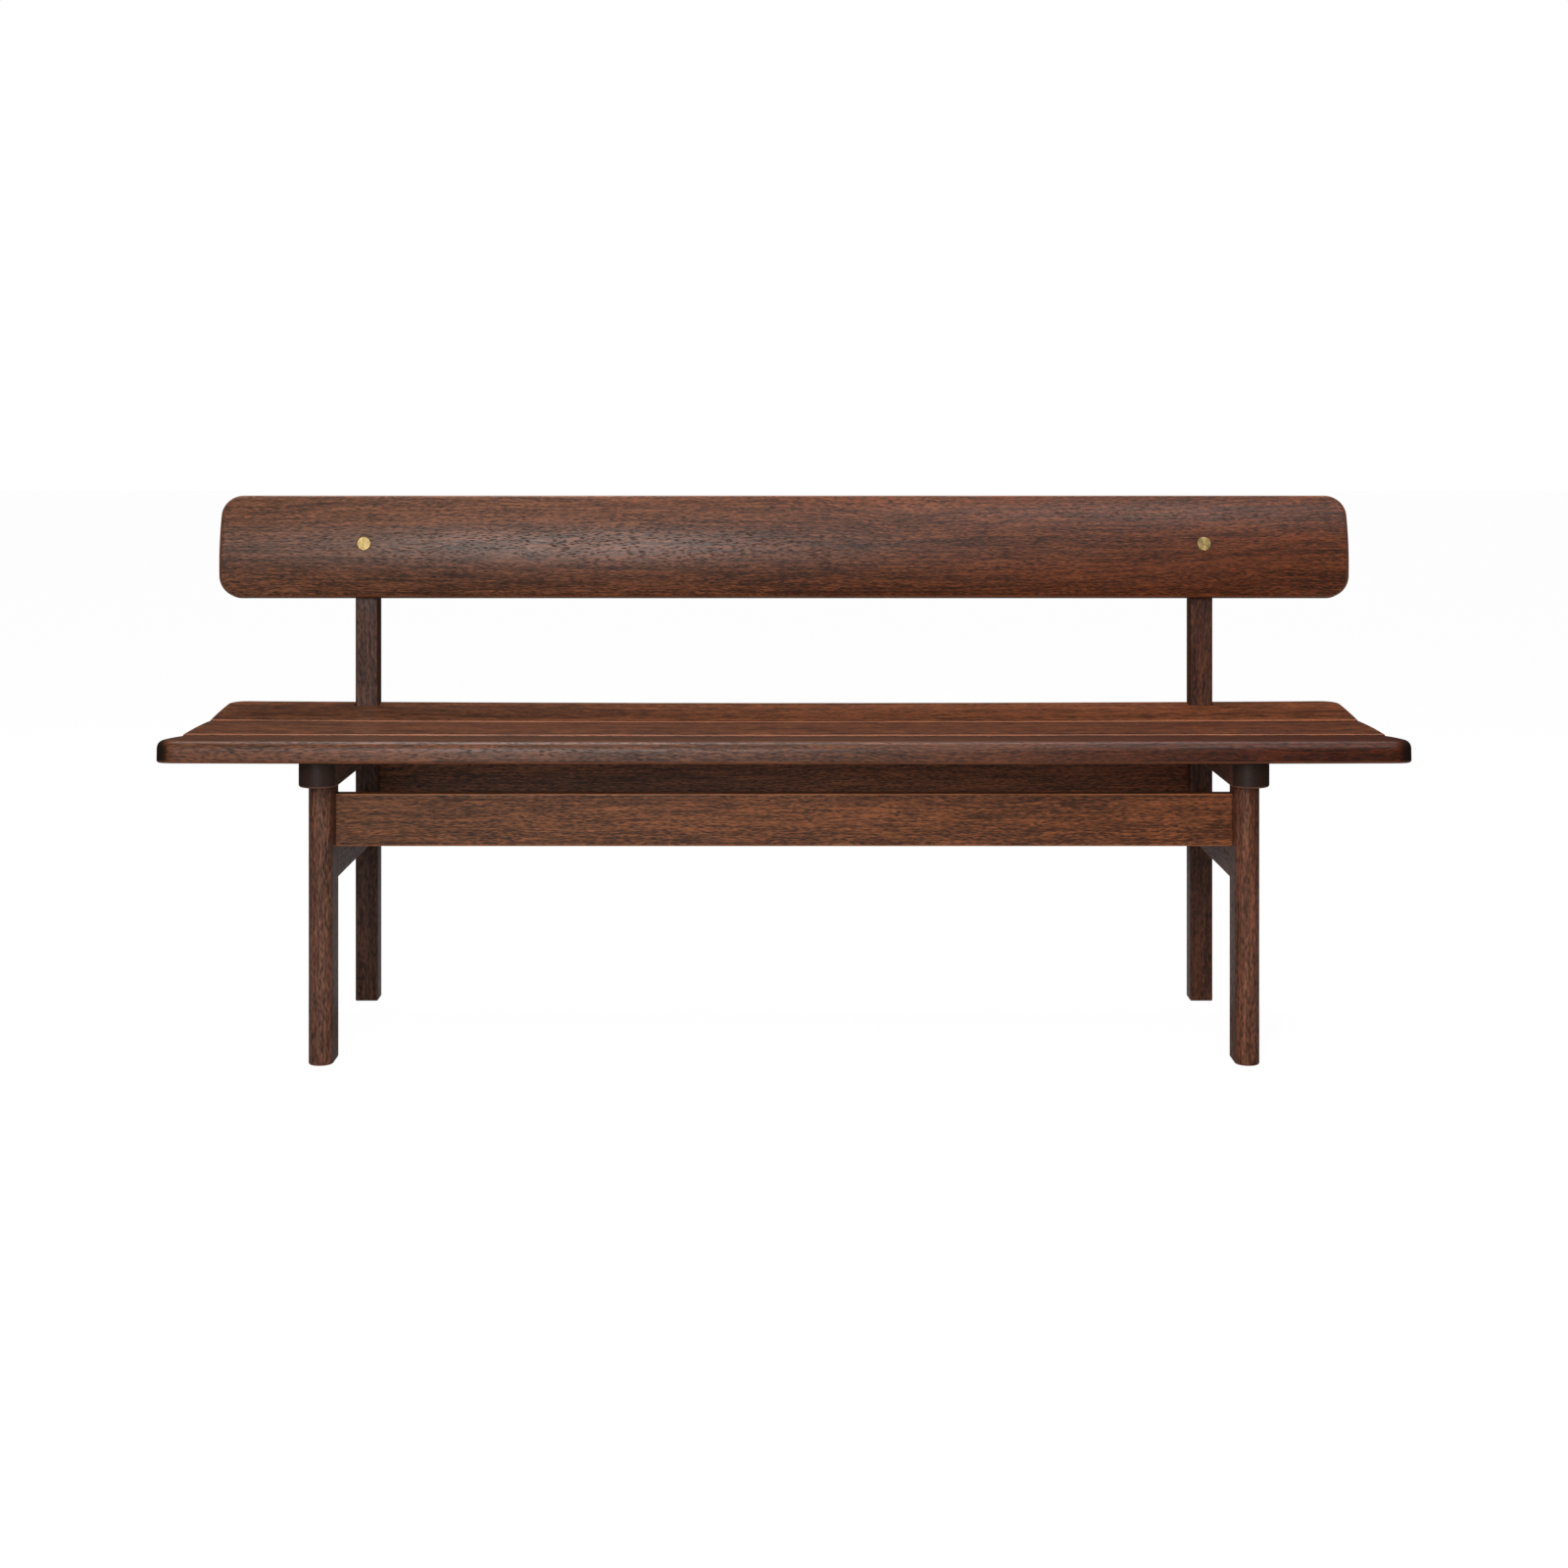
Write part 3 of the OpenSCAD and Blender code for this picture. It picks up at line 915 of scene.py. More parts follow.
class TurningMarks(SharedEffect):
    """Fine rings left by a lathe tool round the Z axis of a piece."""

    name = "turning marks"
    takes = (("Vector", "Vector", (0, 0, 0)), ("Pitch", "Float", 0.0002))
    gives = (("Height", "Float"), ("Tarnish", "Float"))
    RING_HEIGHT, CUT_HEIGHT = 0.35, 1.6
    CUTS_PER_RING = 0.37
    SPOTS = (420.0, 420.0, 420.0)

    def build(self, tree: Shading, take: bpy.types.Node) -> dict[str, object]:
        """Rings by distance from the axis, uneven from cut to cut, and faint tarnish.

        Args:
            tree: tree of the group.
            take: the group's inputs.

        Returns:
            The socket behind each output.
        """
        parts = tree.add("SeparateXYZ", {0: take.outputs["Vector"]})
        flat = tree.add("CombineXYZ", {0: parts.outputs[0], 1: parts.outputs[1]}).outputs[0]
        far = tree.add("VectorMath", {0: flat}, operation="LENGTH").outputs["Value"]
        along = tree.maths("ADD", far, parts.outputs[2])
        cuts = tree.maths("DIVIDE", along, take.outputs["Pitch"])
        ring = tree.maths("SINE", tree.maths("MULTIPLY", cuts, 2 * math.pi))
        uneven = tree.add("TexNoise", {"W": cuts, "Scale": self.CUTS_PER_RING, "Detail": 1.0},
                          noise_dimensions="1D")
        height = tree.maths("MULTIPLY_ADD", uneven.outputs["Fac"], self.CUT_HEIGHT,
                            tree.maths("MULTIPLY", ring, self.RING_HEIGHT))
        spots = tree.noise(take.outputs["Vector"], self.SPOTS, 3.0)
        return {"Height": height, "Tarnish": tree.ranged(spots, 0.45, 0.8)}


@dataclass(frozen=True)
class OiledHardwood:
    """Dark stained hardwood under a wiped satin oil."""

    name: str
    base: Colour
    # Colour that the wood is multiplied towards along X: part its own change along the length, part
    # painted light and shade along the bench.
    tint: Colour
    end: Colour = (0.028, 0.015, 0.011, 1)
    tone: float = 1.0
    depth: float = 0.35
    lift: float = 1.9
    # How much lighter small arrises are: part real wear, part painted highlight.
    worn_and_lit_lift: float = 2.3
    figure: float = 1.0
    fibre: float = 1.0
    mottle: float = 0.25
    pores: float = 0.62
    low_rough: float = 0.33
    high_rough: float = 0.41
    tint_from: float = -0.8
    tint_to: float = 0.8
    # How strongly small arrises get that wear and painted highlight.
    wear_and_highlight_amount: float = 0.6

    BACK_AND_UP = (0.37, 0.61)          # share of the seed that shifts the grain on Y and Z
    PORE_COVER, PORE_SHADE, PORE_ROUGHNESS = 0.85, 0.12, 0.22
    END_COVER, WORN_ROUGHNESS = 0.92, -0.06
    SCRATCHES, SCRATCH_COVER, SCRATCH_DEPTH = 0.5, 0.35, -0.4
    FIBRE_HEIGHT, RELIEF, RELIEF_DEPTH = 0.35, 0.35, 0.00025
    INDEX = 1.47

    def material(self, piece: str, grain: Grain, seed: float) -> bpy.types.Material:
        """Makes the finish for one piece, with grain of its own.

        Args:
            piece: name of the piece.
            grain: how the grain runs.
            seed: shift of the grain, in metres.

        Returns:
            The material.
        """
        material = bpy.data.materials.new(f"{self.name}, {piece}")
        material.use_nodes = True
        tree = Shading(material.node_tree)
        coordinates = tree.add("TexCoord").outputs["Object"]
        shift = (seed, *(share * seed for share in self.BACK_AND_UP))
        place = tree.add("Mapping", {"Vector": coordinates, "Rotation": grain.turn,
                                     "Location": shift}).outputs[0]
        light = self.shade(self.lift)
        grown = TimberGrain().place(tree, Vector=place, Dark=self.shade(self.depth),
                                    Middle=self.shade(1.0), Light=light, Figure=self.figure,
                                    Fibre=self.fibre, Mottle=self.mottle)
        wood = grown.outputs["Place"]
        pores = OpenPores().place(tree, Vector=wood, Density=self.pores).outputs["Mask"]
        wear_and_highlight = ArrisWearAndHighlight().place(tree, Vector=wood, Amount=self.wear_and_highlight_amount).outputs["Mask"]
        scratch = FineScratches().place(tree, Vector=place, Amount=self.SCRATCHES).outputs["Mask"]
        satin = SatinPatches().place(tree, Vector=wood, Low=self.low_rough, High=self.high_rough)
        cut = EndGrain().place(tree, Axis=grain.axis).outputs["Mask"]
        # Ramp of the tint along X: part the wood's own change of colour, part painted light and shade
        # that follows the lamps' sheen along the bench.
        length = tree.add("SeparateXYZ", {0: coordinates}).outputs[0]
        drift = tree.ranged(length, self.tint_from, self.tint_to)
        colour = tree.mixed(drift, grown.outputs["Color"], self.tint, "MULTIPLY")
        colour = tree.mixed(tree.maths("MULTIPLY", pores, self.PORE_COVER), colour,
                            self.shade(self.PORE_SHADE))
        # End grain darkened; on the seat planks its near-black colour also paints shade onto the plank
        # ends.
        colour = tree.mixed(tree.maths("MULTIPLY", cut, self.END_COVER), colour, self.end)
        # Small arrises lightened: part real wear, part a painted highlight where the lamps catch the
        # edges.
        colour = tree.mixed(wear_and_highlight, colour, self.shade(self.worn_and_lit_lift))
        colour = tree.mixed(tree.maths("MULTIPLY", scratch, self.SCRATCH_COVER), colour, light)
        rough = tree.maths("MULTIPLY_ADD", pores, self.PORE_ROUGHNESS, satin.outputs["Roughness"])
        rough = tree.maths("MULTIPLY_ADD", wear_and_highlight, self.WORN_ROUGHNESS, rough)
        relief = tree.maths("MULTIPLY", grown.outputs["Height"], self.FIBRE_HEIGHT)
        relief = tree.maths("MULTIPLY_ADD", pores, -1.0, relief)
        relief = tree.maths("MULTIPLY_ADD", scratch, self.SCRATCH_DEPTH, relief)
        bump = tree.add("Bump", {"Height": relief, "Strength": self.RELIEF,
                                 "Distance": self.RELIEF_DEPTH})
        shader = tree.add("BsdfPrincipled", {"Base Color": colour, "Roughness": rough,
                                             "Normal": bump.outputs[0], "IOR": self.INDEX})
        tree.add("OutputMaterial", {"Surface": shader.outputs[0]})
        return material

    def shade(self, share: float) -> Colour:
        """Colour of the wood, darker or lighter by a share."""
        red, green, blue, _ = self.base
        return red * share * self.tone, green * share * self.tone, blue * share * self.tone, 1.0


@dataclass(frozen=True)
class MachinedMetal:
    """Metal turned on a lathe, bright on its tool marks."""

    name: str
    bright: Colour
    dull: Colour
    roughness: float
    pitch: float
    anisotropy: float

    TARNISH_ROUGHNESS = 0.12
    RELIEF, RELIEF_DEPTH = 0.12, 0.00002

    def material(self) -> bpy.types.Material:
        """Makes the finish, for a piece whose own Z is its axis.

        Returns:
            The material.
        """
        material = bpy.data.materials.new(self.name)
        material.use_nodes = True
        tree = Shading(material.node_tree)
        place = tree.add("TexCoord").outputs["Object"]
        marks = TurningMarks().place(tree, Vector=place, Pitch=self.pitch)
        colour = tree.mixed(marks.outputs["Tarnish"], self.bright, self.dull)
        rough = tree.maths("MULTIPLY_ADD", marks.outputs["Tarnish"], self.TARNISH_ROUGHNESS,
                           self.roughness)
        bump = tree.add("Bump", {"Height": marks.outputs["Height"], "Strength": self.RELIEF,
                                 "Distance": self.RELIEF_DEPTH})
        tangent = tree.add("Tangent", direction_type="RADIAL", axis="Z")
        shader = tree.add("BsdfPrincipled", {"Base Color": colour, "Metallic": 1.0, "Roughness": rough,
                                             "Normal": bump.outputs[0], "Anisotropic": self.anisotropy,
                                             "Tangent": tangent.outputs[0]})
        tree.add("OutputMaterial", {"Surface": shader.outputs[0]})
        return material


# Each tint ramps the colour along X, partly the wood's own change and partly painted light and shade:
# the front plank and the board go darker and redder to the right, where the sheen falls off.
SEAT_WOOD = OiledHardwood("seat hardwood", base=(0.182, 0.060, 0.023, 1),
                          # near-black end grain: real end grain deepened with painted shade at the plank
                          # ends
                          tint=(0.92, 0.74, 0.60, 1), end=(0.016, 0.009, 0.006, 1),
                          # lighter arrises along the seams: part wear, part painted highlight
                          mottle=2.2, worn_and_lit_lift=2.4, wear_and_highlight_amount=1.0)
FRONT_PLANK_WOOD = replace(SEAT_WOOD, name="front plank hardwood", tone=0.72,
                           tint=(0.68, 0.38, 0.24, 1), mottle=0.6, worn_and_lit_lift=2.3, wear_and_highlight_amount=0.6,
                           tint_from=0.0, tint_to=0.75)
REAR_PLANK_WOOD = replace(SEAT_WOOD, name="rear plank hardwood", tone=1.0,
                          tint=(1.40, 1.20, 1.05, 1))
BACK_WOOD = OiledHardwood("back hardwood", base=(0.165, 0.063, 0.030, 1),
                          tint=(0.94, 0.64, 0.44, 1))
FRAME_WOOD = OiledHardwood("leg hardwood", base=(0.175, 0.073, 0.043, 1),
                           tint=(1.14, 0.98, 0.86, 1), figure=0.8)
# Rails: stronger lightening of the arrises, part wear and part the painted highlight along their top
# edges.
RAIL_WOOD = replace(FRAME_WOOD, name="rail hardwood", base=(0.212, 0.077, 0.030, 1),
                    tint=(1.08, 0.88, 0.72, 1), figure=1.0, wear_and_highlight_amount=1.0, worn_and_lit_lift=3.0)
# A darker copy of the frame wood: painted shade for the posts, which stand in the shadow of the board
# and of the seat.
SHADED_POST_WOOD = replace(FRAME_WOOD, name="post hardwood", tone=0.58)
BRASS = MachinedMetal("turned brass", bright=(0.83, 0.62, 0.27, 1), dull=(0.72, 0.50, 0.19, 1),
                      roughness=0.50, pitch=0.00028, anisotropy=0.9)
STEEL = MachinedMetal("zinc plated steel", bright=(0.62, 0.63, 0.62, 1), dull=(0.40, 0.41, 0.42, 1),
                      roughness=0.30, pitch=0.0005, anisotropy=0.3)


# ---------------------------------------------------------------------------------------------
# The pew
# ---------------------------------------------------------------------------------------------


@dataclass
class Layout:
    """Places that the pieces share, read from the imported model."""

    plank_gap: float = 0.002
    front_tilt: float = math.radians(4.4)
    rear_tilt: float = math.radians(4.8)
    rake: float = math.radians(10.0)
    slant_rise: float = 0.006
    middle: Span = field(default_factory=lambda: Span.of("seat_middle_plank"))
    post: Span = field(default_factory=lambda: Span.of("right_rear_post"))
    bearer: Span = field(default_factory=lambda: Span.of("right_bearer"))
    leg: Span = field(default_factory=lambda: Span.of("right_front_leg"))
    board: Span = field(default_factory=lambda: Span.of("back_board"))

    @property
    def seat_top(self) -> float:
        """Height of the middle plank's top."""
        return self.middle.high.z

    @property
    def plank_depth(self) -> float:
        """Thickness of the planks."""
        return self.middle.size.z

    @property
    def leg_x(self) -> float:
        """Distance of the legs' middle from the middle of the bench."""
        return self.leg.centre.x

    @property
    def leg_width(self) -> float:
        """Width of the legs and posts."""
        return self.leg.size.x

    @property
    def bearer_bottom(self) -> float:
        """Height of the bearers' undersides."""
        return self.bearer.low.z

    @property
    def board_edge(self) -> Vector:
        """Lower back edge of the back board, at the middle of the bench."""
        back = self.post.low.y - self.slant_rise * math.tan(self.rake)
        return Vector((0.0, back, self.board.low.z))

    def at_board(self) -> Matrix:
        """Frame of the board: X along it, Y back and Z up its back face."""
        return Matrix.Translation(self.board_edge) @ Matrix.Rotation(-self.rake, 4, "X")

    def at_bolt(self, side: int, height: float) -> Matrix:
        """Frame of a bolt: origin on the board's back face, Z towards the front.

        Args:
            side: -1 for the left bolt, 1 for the right one.
            height: height of the bolt up the board's back face.

        Returns:
            The frame.
        """
        across = Matrix.Translation((side * self.leg_x, 0.0, 0.0))
        up = Matrix.Translation((0.0, 0.0, height))
        return across @ self.at_board() @ up @ Matrix.Rotation(math.pi / 2, 4, "X")

    def plank_underside(self, y: float) -> float:
        """Height of the planks' undersides.

        Args:
            y: place between front and rear.

        Returns:
            The height there.
        """
        depth = self.plank_depth
        ahead = self.middle.low.y - self.plank_gap - y
        behind = y - self.middle.high.y - self.plank_gap
        front = -depth / math.cos(self.front_tilt) + ahead * math.tan(self.front_tilt)
        rear = -depth / math.cos(self.rear_tilt) + behind * math.tan(self.rear_tilt)
        return self.seat_top + max(-depth, front, rear)


@dataclass
class Assembly:
    """A group of pieces that are made in the same way."""

    layout: Layout

    def dress(self, obj: bpy.types.Object, node: str, slot: Slot,
              material: bpy.types.Material) -> bpy.types.Object:
        """Gives a piece its finish and its place in the frame.

        Args:
            obj: the piece, in place.
            node: CAD node that it stands for.
            slot: material slot of the record; not used.
            material: its finish.

        Returns:
            The piece.
        """
        obj.data.materials.clear()
        obj.data.materials.append(material)
        smooth(obj)
        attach(obj, BODY)
        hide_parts(node)
        return obj

    def build(self) -> list[bpy.types.Object]:
        """Builds the pieces."""
        raise NotImplementedError


@dataclass
class Joinery:
    """Tenons of the frame, with the mortises that take them."""

    layout: Layout
    tenon: float = 0.010
    reach: float = 0.022
    shoulder: float = 0.008
    spacing: float = 0.006
    bearer_height: float = 0.018
    leg_height: float = 0.019
    leg_depth: float = 0.024
    play: float = 0.00015
    end: float = 0.001
    long_rail: Span = field(default_factory=lambda: Span.of("front_rail"))
    back_rail: Span = field(default_factory=lambda: Span.of("rear_rail"))
    side_rail: Span = field(default_factory=lambda: Span.of("right_side_rail"))

    def split(self) -> float:
        """Height at which the tenons of the two directions part."""
        return (self.long_rail.low.z + self.side_rail.high.z) / 2

    def long_rail_tenon(self, side: int, rear: bool) -> Span:
        """Tenon of the front or rear rail at one end.

        Args:
            side: -1 at the left end of the bench, 1 at the right end.
            rear: whether it is the rear rail.

        Returns:
            The tenon.
        """
        rail = self.back_rail if rear else self.long_rail
        low = max(rail.low.z + self.shoulder, self.split() + self.spacing / 2)
        start = self.layout.leg_x - self.layout.leg_width / 2
        ends = sorted((side * start, side * (start + self.reach)))
        return Span(Vector((ends[0], rail.centre.y - self.tenon / 2, low)),
                    Vector((ends[1], rail.centre.y + self.tenon / 2, rail.high.z - self.shoulder)))

    def side_rail_tenon(self, side: int, rear: bool) -> Span:
        """Tenon of a side rail, in its leg or in its post.

        Args:
            side: -1 at the left end of the bench, 1 at the right end.
            rear: whether it is the one in the post.

        Returns:
            The tenon.
        """
        rail, x = self.side_rail, side * self.layout.leg_x
        high = min(rail.high.z - self.shoulder, self.split() - self.spacing / 2)
        start = self.layout.post.low.y if rear else self.layout.leg.high.y - self.reach
        return Span(Vector((x - self.tenon / 2, start, rail.low.z + self.shoulder)),
                    Vector((x + self.tenon / 2, start + self.reach, high)))

    def bearer_tenon(self, side: int) -> Span:
        """Tenon of a bearer in its post.

        Args:
            side: -1 at the left end of the bench, 1 at the right end.

        Returns:
            The tenon.
        """
        x, low = side * self.layout.leg_x, self.layout.bearer_bottom + self.shoulder
        start = self.layout.post.low.y
        return Span(Vector((x - self.tenon / 2, start, low)),
                    Vector((x + self.tenon / 2, start + self.reach, low + self.bearer_height)))

    def leg_tenon(self, side: int) -> Span:
        """Tenon of a front leg in its bearer.

        Args:
            side: -1 at the left end of the bench, 1 at the right end.

        Returns:
            The tenon.
        """
        x, leg = side * self.layout.leg_x, self.layout.leg
        y = leg.high.y - (leg.size.y - leg.size.x / 2) / 2
        low = self.layout.bearer_bottom
        return Span(Vector((x - self.tenon / 2, y - self.leg_depth / 2, low)),
                    Vector((x + self.tenon / 2, y + self.leg_depth / 2, low + self.leg_height)))

    def mortise(self, tenon: Span, way: Vector) -> Span:
        """Mortise of a tenon, open at its shoulder.

        Args:
            tenon: the tenon.
            way: direction that it points in.

        Returns:
            The box to cut out.
        """
        play = Vector((self.play,) * 3)
        low, high = tenon.low - play, tenon.high + play
        for axis in range(3):
            if way[axis]:
                near, far = (low, high) if way[axis] > 0 else (high, low)
                near[axis] -= way[axis] * (PAST - self.play)
                far[axis] += way[axis] * (self.end - self.play)
        return Span(low, high)

    def rooted(self, tenon: Span, way: Vector) -> Span:
        """Tenon that starts a little inside its own piece, ready to be joined on.

        Args:
            tenon: the tenon.
            way: direction that it points in.

        Returns:
            The box to join on.
        """
        low, high = tenon.low.copy(), tenon.high.copy()
        for axis in range(3):
            if way[axis]:
                (low if way[axis] > 0 else high)[axis] -= way[axis] * 2 * PAST
        return Span(low, high)


@dataclass
class SeatPlanks(Assembly):
    """The three planks of the dished seat."""

    corner: float = 0.026
    front_edge: float = 0.0135
    edge: float = 0.004
    seam_edge: float = 0.015
    near_edge: float = 0.0017
    end_edge: float = 0.0045
    front_end: float = 0.0105
    inner_corner: float = 0.004
    crown: float = 0.0011
    front_step: float = 0.0015
    front_sag: float = 0.0008
    rear_sag: float = 0.0017
    unevenness: float = 0.00012
    notch_play: float = 0.001
    notch_arris: float = 0.0007
    pilot: float = 0.00255
    bite: float = 0.021

    def sag(self, x: float, amount: float) -> float:
        """How far a plank has sunk between the bearers, and risen past them."""
        return amount * (1 - (x / self.layout.leg_x) ** 2)

    def plank(self, name: str, width: float, tilt: float, edge_y: float, from_back: bool,
              corners: tuple, high_arris: tuple, low_arris: tuple, sag: float, seed: float,
              step: float = 0.0) -> bpy.types.Object:
        """Builds one plank in its place.

        Args:
            name: name of the object.
            width: width along its slope.
            tilt: turn about X, in radians.
            edge_y: place of the top edge that it turns about.
            from_back: whether that edge is its back one.
            corners: radii of its corners.
            high_arris: radii of the arrises on top.
            low_arris: radii of the arrises below.
            sag: how far it sinks at mid length.
            seed: shift of its unevenness.
            step: how far its top lies below the layout's.

        Returns:
            The plank.
        """
        layout = self.layout
        slab = Slab(layout.middle.size.x, width, layout.plank_depth, corners, low_arris, high_arris,
                    long_steps=110, cross_steps=10)
        turn = Matrix.Rotation(tilt, 4, "X")
        start = Vector((0.0, -width if from_back else 0.0, -layout.plank_depth))
        edge = Vector((0.0, edge_y, layout.seat_top))

        def shape(point: Vector, lift: float) -> Vector:
            """Crowns the top, sinks the middle and tilts the plank.

            Args:
                point: a point of the flat plank.
                lift: 0 for the underside, 1 for the top.

            Returns:
                Its place in the bench.
            """
            across = 2 * point.y / width - 1
            raised = (self.crown * (1 - across * across)
                      + wander(point, self.unevenness, seed) - step)
            placed = edge + turn @ (point + start + Vector((0.0, 0.0, lift * raised)))
            placed.z -= self.sag(point.x, sag)
            return placed

        return slab.build(name, shape)

    def drilled(self, plank: bpy.types.Object, screws: str) -> bpy.types.Object:
        """Drills a plank's underside for its row of screws.

        Args:
            plank: the plank.
            screws: CAD node of the screws.

        Returns:
            The plank.
        """
        bits = []
        for screw in islands(screws):
            under = self.layout.plank_underside(screw.centre.y)
            bit = turned("bit", ((self.pilot, -PAST), (self.pilot, self.bite)), sides=24)
            bit.matrix_world = Matrix.Translation((screw.centre.x, screw.centre.y, under))
            bits.append(bit)
        bpy.context.view_layer.update()
        return worked(plank, "DIFFERENCE", joined("bits", bits))

    def notched(self, plank: bpy.types.Object) -> bpy.types.Object:
        """Notches the rear plank round both posts and eases the new edges.

        Args:
            plank: the plank.

        Returns:
            The plank.
        """
        layout = self.layout
        half = layout.leg_width / 2 + self.notch_play
        front = layout.post.low.y - self.notch_play
        cuts = [Span(Vector((side * layout.leg_x - half, front, 0.0)),
                     Vector((side * layout.leg_x + half, front + 1.0, 1.0))) for side in SIDES]
        worked(plank, "DIFFERENCE", box_mesh("notches", cuts))

        def on_notch(point: Vector) -> bool:
            """Whether a point lies on the wall of a notch."""
            beside = abs(abs(point.x) - layout.leg_x)
            return point.y > front - NEAR and beside < half + NEAR

        ease(plank, on_notch, self.notch_arris)
        return plank

    def build(self) -> list[bpy.types.Object]:
        """Builds the front, middle and rear planks.

        Returns:
            The pieces.
        """
        layout, edge, end, tight = self.layout, self.edge, self.end_edge, self.inner_corner
        front_span, rear_span = Span.of("seat_front_plank"), Span.of("seat_rear_plank")
        front_y = layout.middle.low.y - layout.plank_gap
        rear_y = layout.middle.high.y + layout.plank_gap
        depth = layout.plank_depth
        front_reach = front_y - front_span.low.y - depth * math.sin(layout.front_tilt)
        rear_reach = rear_span.high.y - rear_y - depth * math.sin(layout.rear_tilt)
        below = (edge, edge, edge, edge)
        front = self.plank("seat_front_plank.oiled", front_reach / math.cos(layout.front_tilt),
                           -layout.front_tilt, front_y, from_back=True,
                           corners=(self.corner, self.corner, tight, tight),
                           high_arris=(self.front_edge, self.front_end, self.seam_edge, self.front_end),
                           low_arris=below, sag=self.front_sag, seed=3.1, step=self.front_step)
        middle = self.plank("seat_middle_plank.oiled", layout.middle.size.y, 0.0,
                            layout.middle.low.y, from_back=False, corners=(tight,) * 4,
                            high_arris=(self.near_edge, end, self.seam_edge, end),
                            low_arris=below, sag=self.front_sag, seed=7.7)
        rear = self.plank("seat_rear_plank.oiled", rear_reach / math.cos(layout.rear_tilt),
                          layout.rear_tilt, rear_y, from_back=False,
                          corners=(tight, tight, self.corner, self.corner),
                          high_arris=(self.near_edge, end, edge, end),
                          low_arris=below, sag=self.rear_sag, seed=11.3)
        woods = {"front": FRONT_PLANK_WOOD, "middle": SEAT_WOOD, "rear": REAR_PLANK_WOOD}
        made = []
        for plank, node, seed in ((front, "front", 1.7), (middle, "middle", 4.9), (rear, "rear", 9.4)):
            self.drilled(plank, f"{node}_plank_screws")
            if node == "rear":
                self.notched(plank)
            finish = woods[node].material(f"{node} plank", Grain.ALONG, seed)
            made.append(self.dress(plank, f"seat_{node}_plank", Slot.SEAT, finish))
        return made


@dataclass
class BackBoard(Assembly):
    """The raked board with its crowned front."""

    height: float = 0.151
    thickness: float = 0.038
    crown_radius: float = 0.172
    corner: float = 0.030
    end_arris: float = 0.0055
    long_arris: float = 0.003
    back_arris: float = 0.003
    unevenness: float = 0.00015
    bolt_height: float = 0.077
    hole: float = 0.0044
    rim: float = 0.0005
    counterbore: float = 0.0104
    counterbore_floor: float = 0.0336

    def bulge(self, height: float) -> float:
        """How far the crown stands in front of the board's long edges.

        Args:
            height: height up the board's back face.

        Returns:
            The distance there.
        """
        off = height - self.height / 2
        at_edges = math.sqrt(self.crown_radius ** 2 - self.height ** 2 / 4)
        return math.sqrt(self.crown_radius ** 2 - off ** 2) - at_edges

    def build(self) -> list[bpy.types.Object]:
        """Builds the board and bores it for the two bolts.

        Returns:
            The pieces.
        """
        layout = self.layout
        edge = self.thickness - self.bulge(self.height / 2)
        slab = Slab(layout.board.size.x, self.height, edge, (self.corner,) * 4, (self.back_arris,) * 4,
                    (self.long_arris, self.end_arris, self.long_arris, self.end_arris),
                    long_steps=110, cross_steps=22, arc_steps=8, arris_steps=6)
        place = layout.at_board()

        def shape(point: Vector, lift: float) -> Vector:
            """Raises the crown and leans the board back."""
            raised = lift * (self.bulge(point.y) + wander(point, self.unevenness, 5.2))
            return place @ Vector((point.x, -point.z - raised, point.y))

        board = slab.build("back_board.oiled", shape)
        places = [layout.at_bolt(side, self.bolt_height) for side in SIDES]
        for bolt in places:
            bored(board, self.hole, -PAST, self.thickness, bolt, sides=64)
            bored(board, self.counterbore, self.counterbore_floor, self.thickness + PAST, bolt, sides=64)
        axes = [bolt.inverted() for bolt in places]

        def on_rim(point: Vector) -> bool:
            """Whether a point lies on the rim of a counterbore.

            Args:
                point: the point.

            Returns:
                True if it does.
            """
            for axis in axes:
                seen = axis @ point
                outside = abs(seen.xy.length - self.counterbore) < 10 * NEAR
                if outside and seen.z > self.counterbore_floor + PAST:
                    return True
            return False

        ease(board, on_rim, self.rim)
        finish = BACK_WOOD.material("back board", Grain.ALONG, seed=13.3)
        return [self.dress(board, "back_board", Slot.BACK, finish)]


@dataclass
class FrontLegs(Assembly):
    """The two legs with their half-round noses."""

    joints: Joinery
    back_arris: float = 0.0022
    foot_arris: float = 0.0016
    courses: int = 12

    def build(self) -> list[bpy.types.Object]:
        """Builds both legs.

        Returns:
            The pieces.
        """
        layout, leg = self.layout, self.layout.leg
        nose = leg.size.x / 2
        made = []
        for side in SIDES:
            slab = Slab(leg.size.y, leg.size.x, layout.bearer_bottom,
                        (nose, self.back_arris, self.back_arris, nose),
                        (self.foot_arris,) * 4, (HIDDEN,) * 4, long_steps=8, cross_steps=2, arc_steps=8,
                        levels=tuple(layout.bearer_bottom * i / self.courses
                                     for i in range(1, self.courses)))
            middle = Vector((side * layout.leg_x - leg.size.x / 2, leg.centre.y, 0.0))

            def shape(point: Vector, lift: float) -> Vector:
                """Turns the leg's depth onto Y."""
                return middle + Vector((point.y, point.x, point.z))

            name = f"{LEFT_RIGHT[side]}_front_leg"
            piece = slab.build(name + ".oiled", shape)
            up, inward, ahead = Vector((0, 0, 1)), Vector((side, 0, 0)), Vector((0, -1, 0))
            joints = self.joints
            worked(piece, "UNION", box_mesh("tenon", [joints.rooted(joints.leg_tenon(side), up)]))
            worked(piece, "DIFFERENCE", box_mesh("mortises", [
                joints.mortise(joints.long_rail_tenon(side, False), inward),
                joints.mortise(joints.side_rail_tenon(side, False), ahead)]))
            finish = FRAME_WOOD.material(name.replace("_", " "), Grain.UPRIGHT, seed=2.3 + side)
            made.append(self.dress(piece, name, Slot.FRAME, finish))
        return made


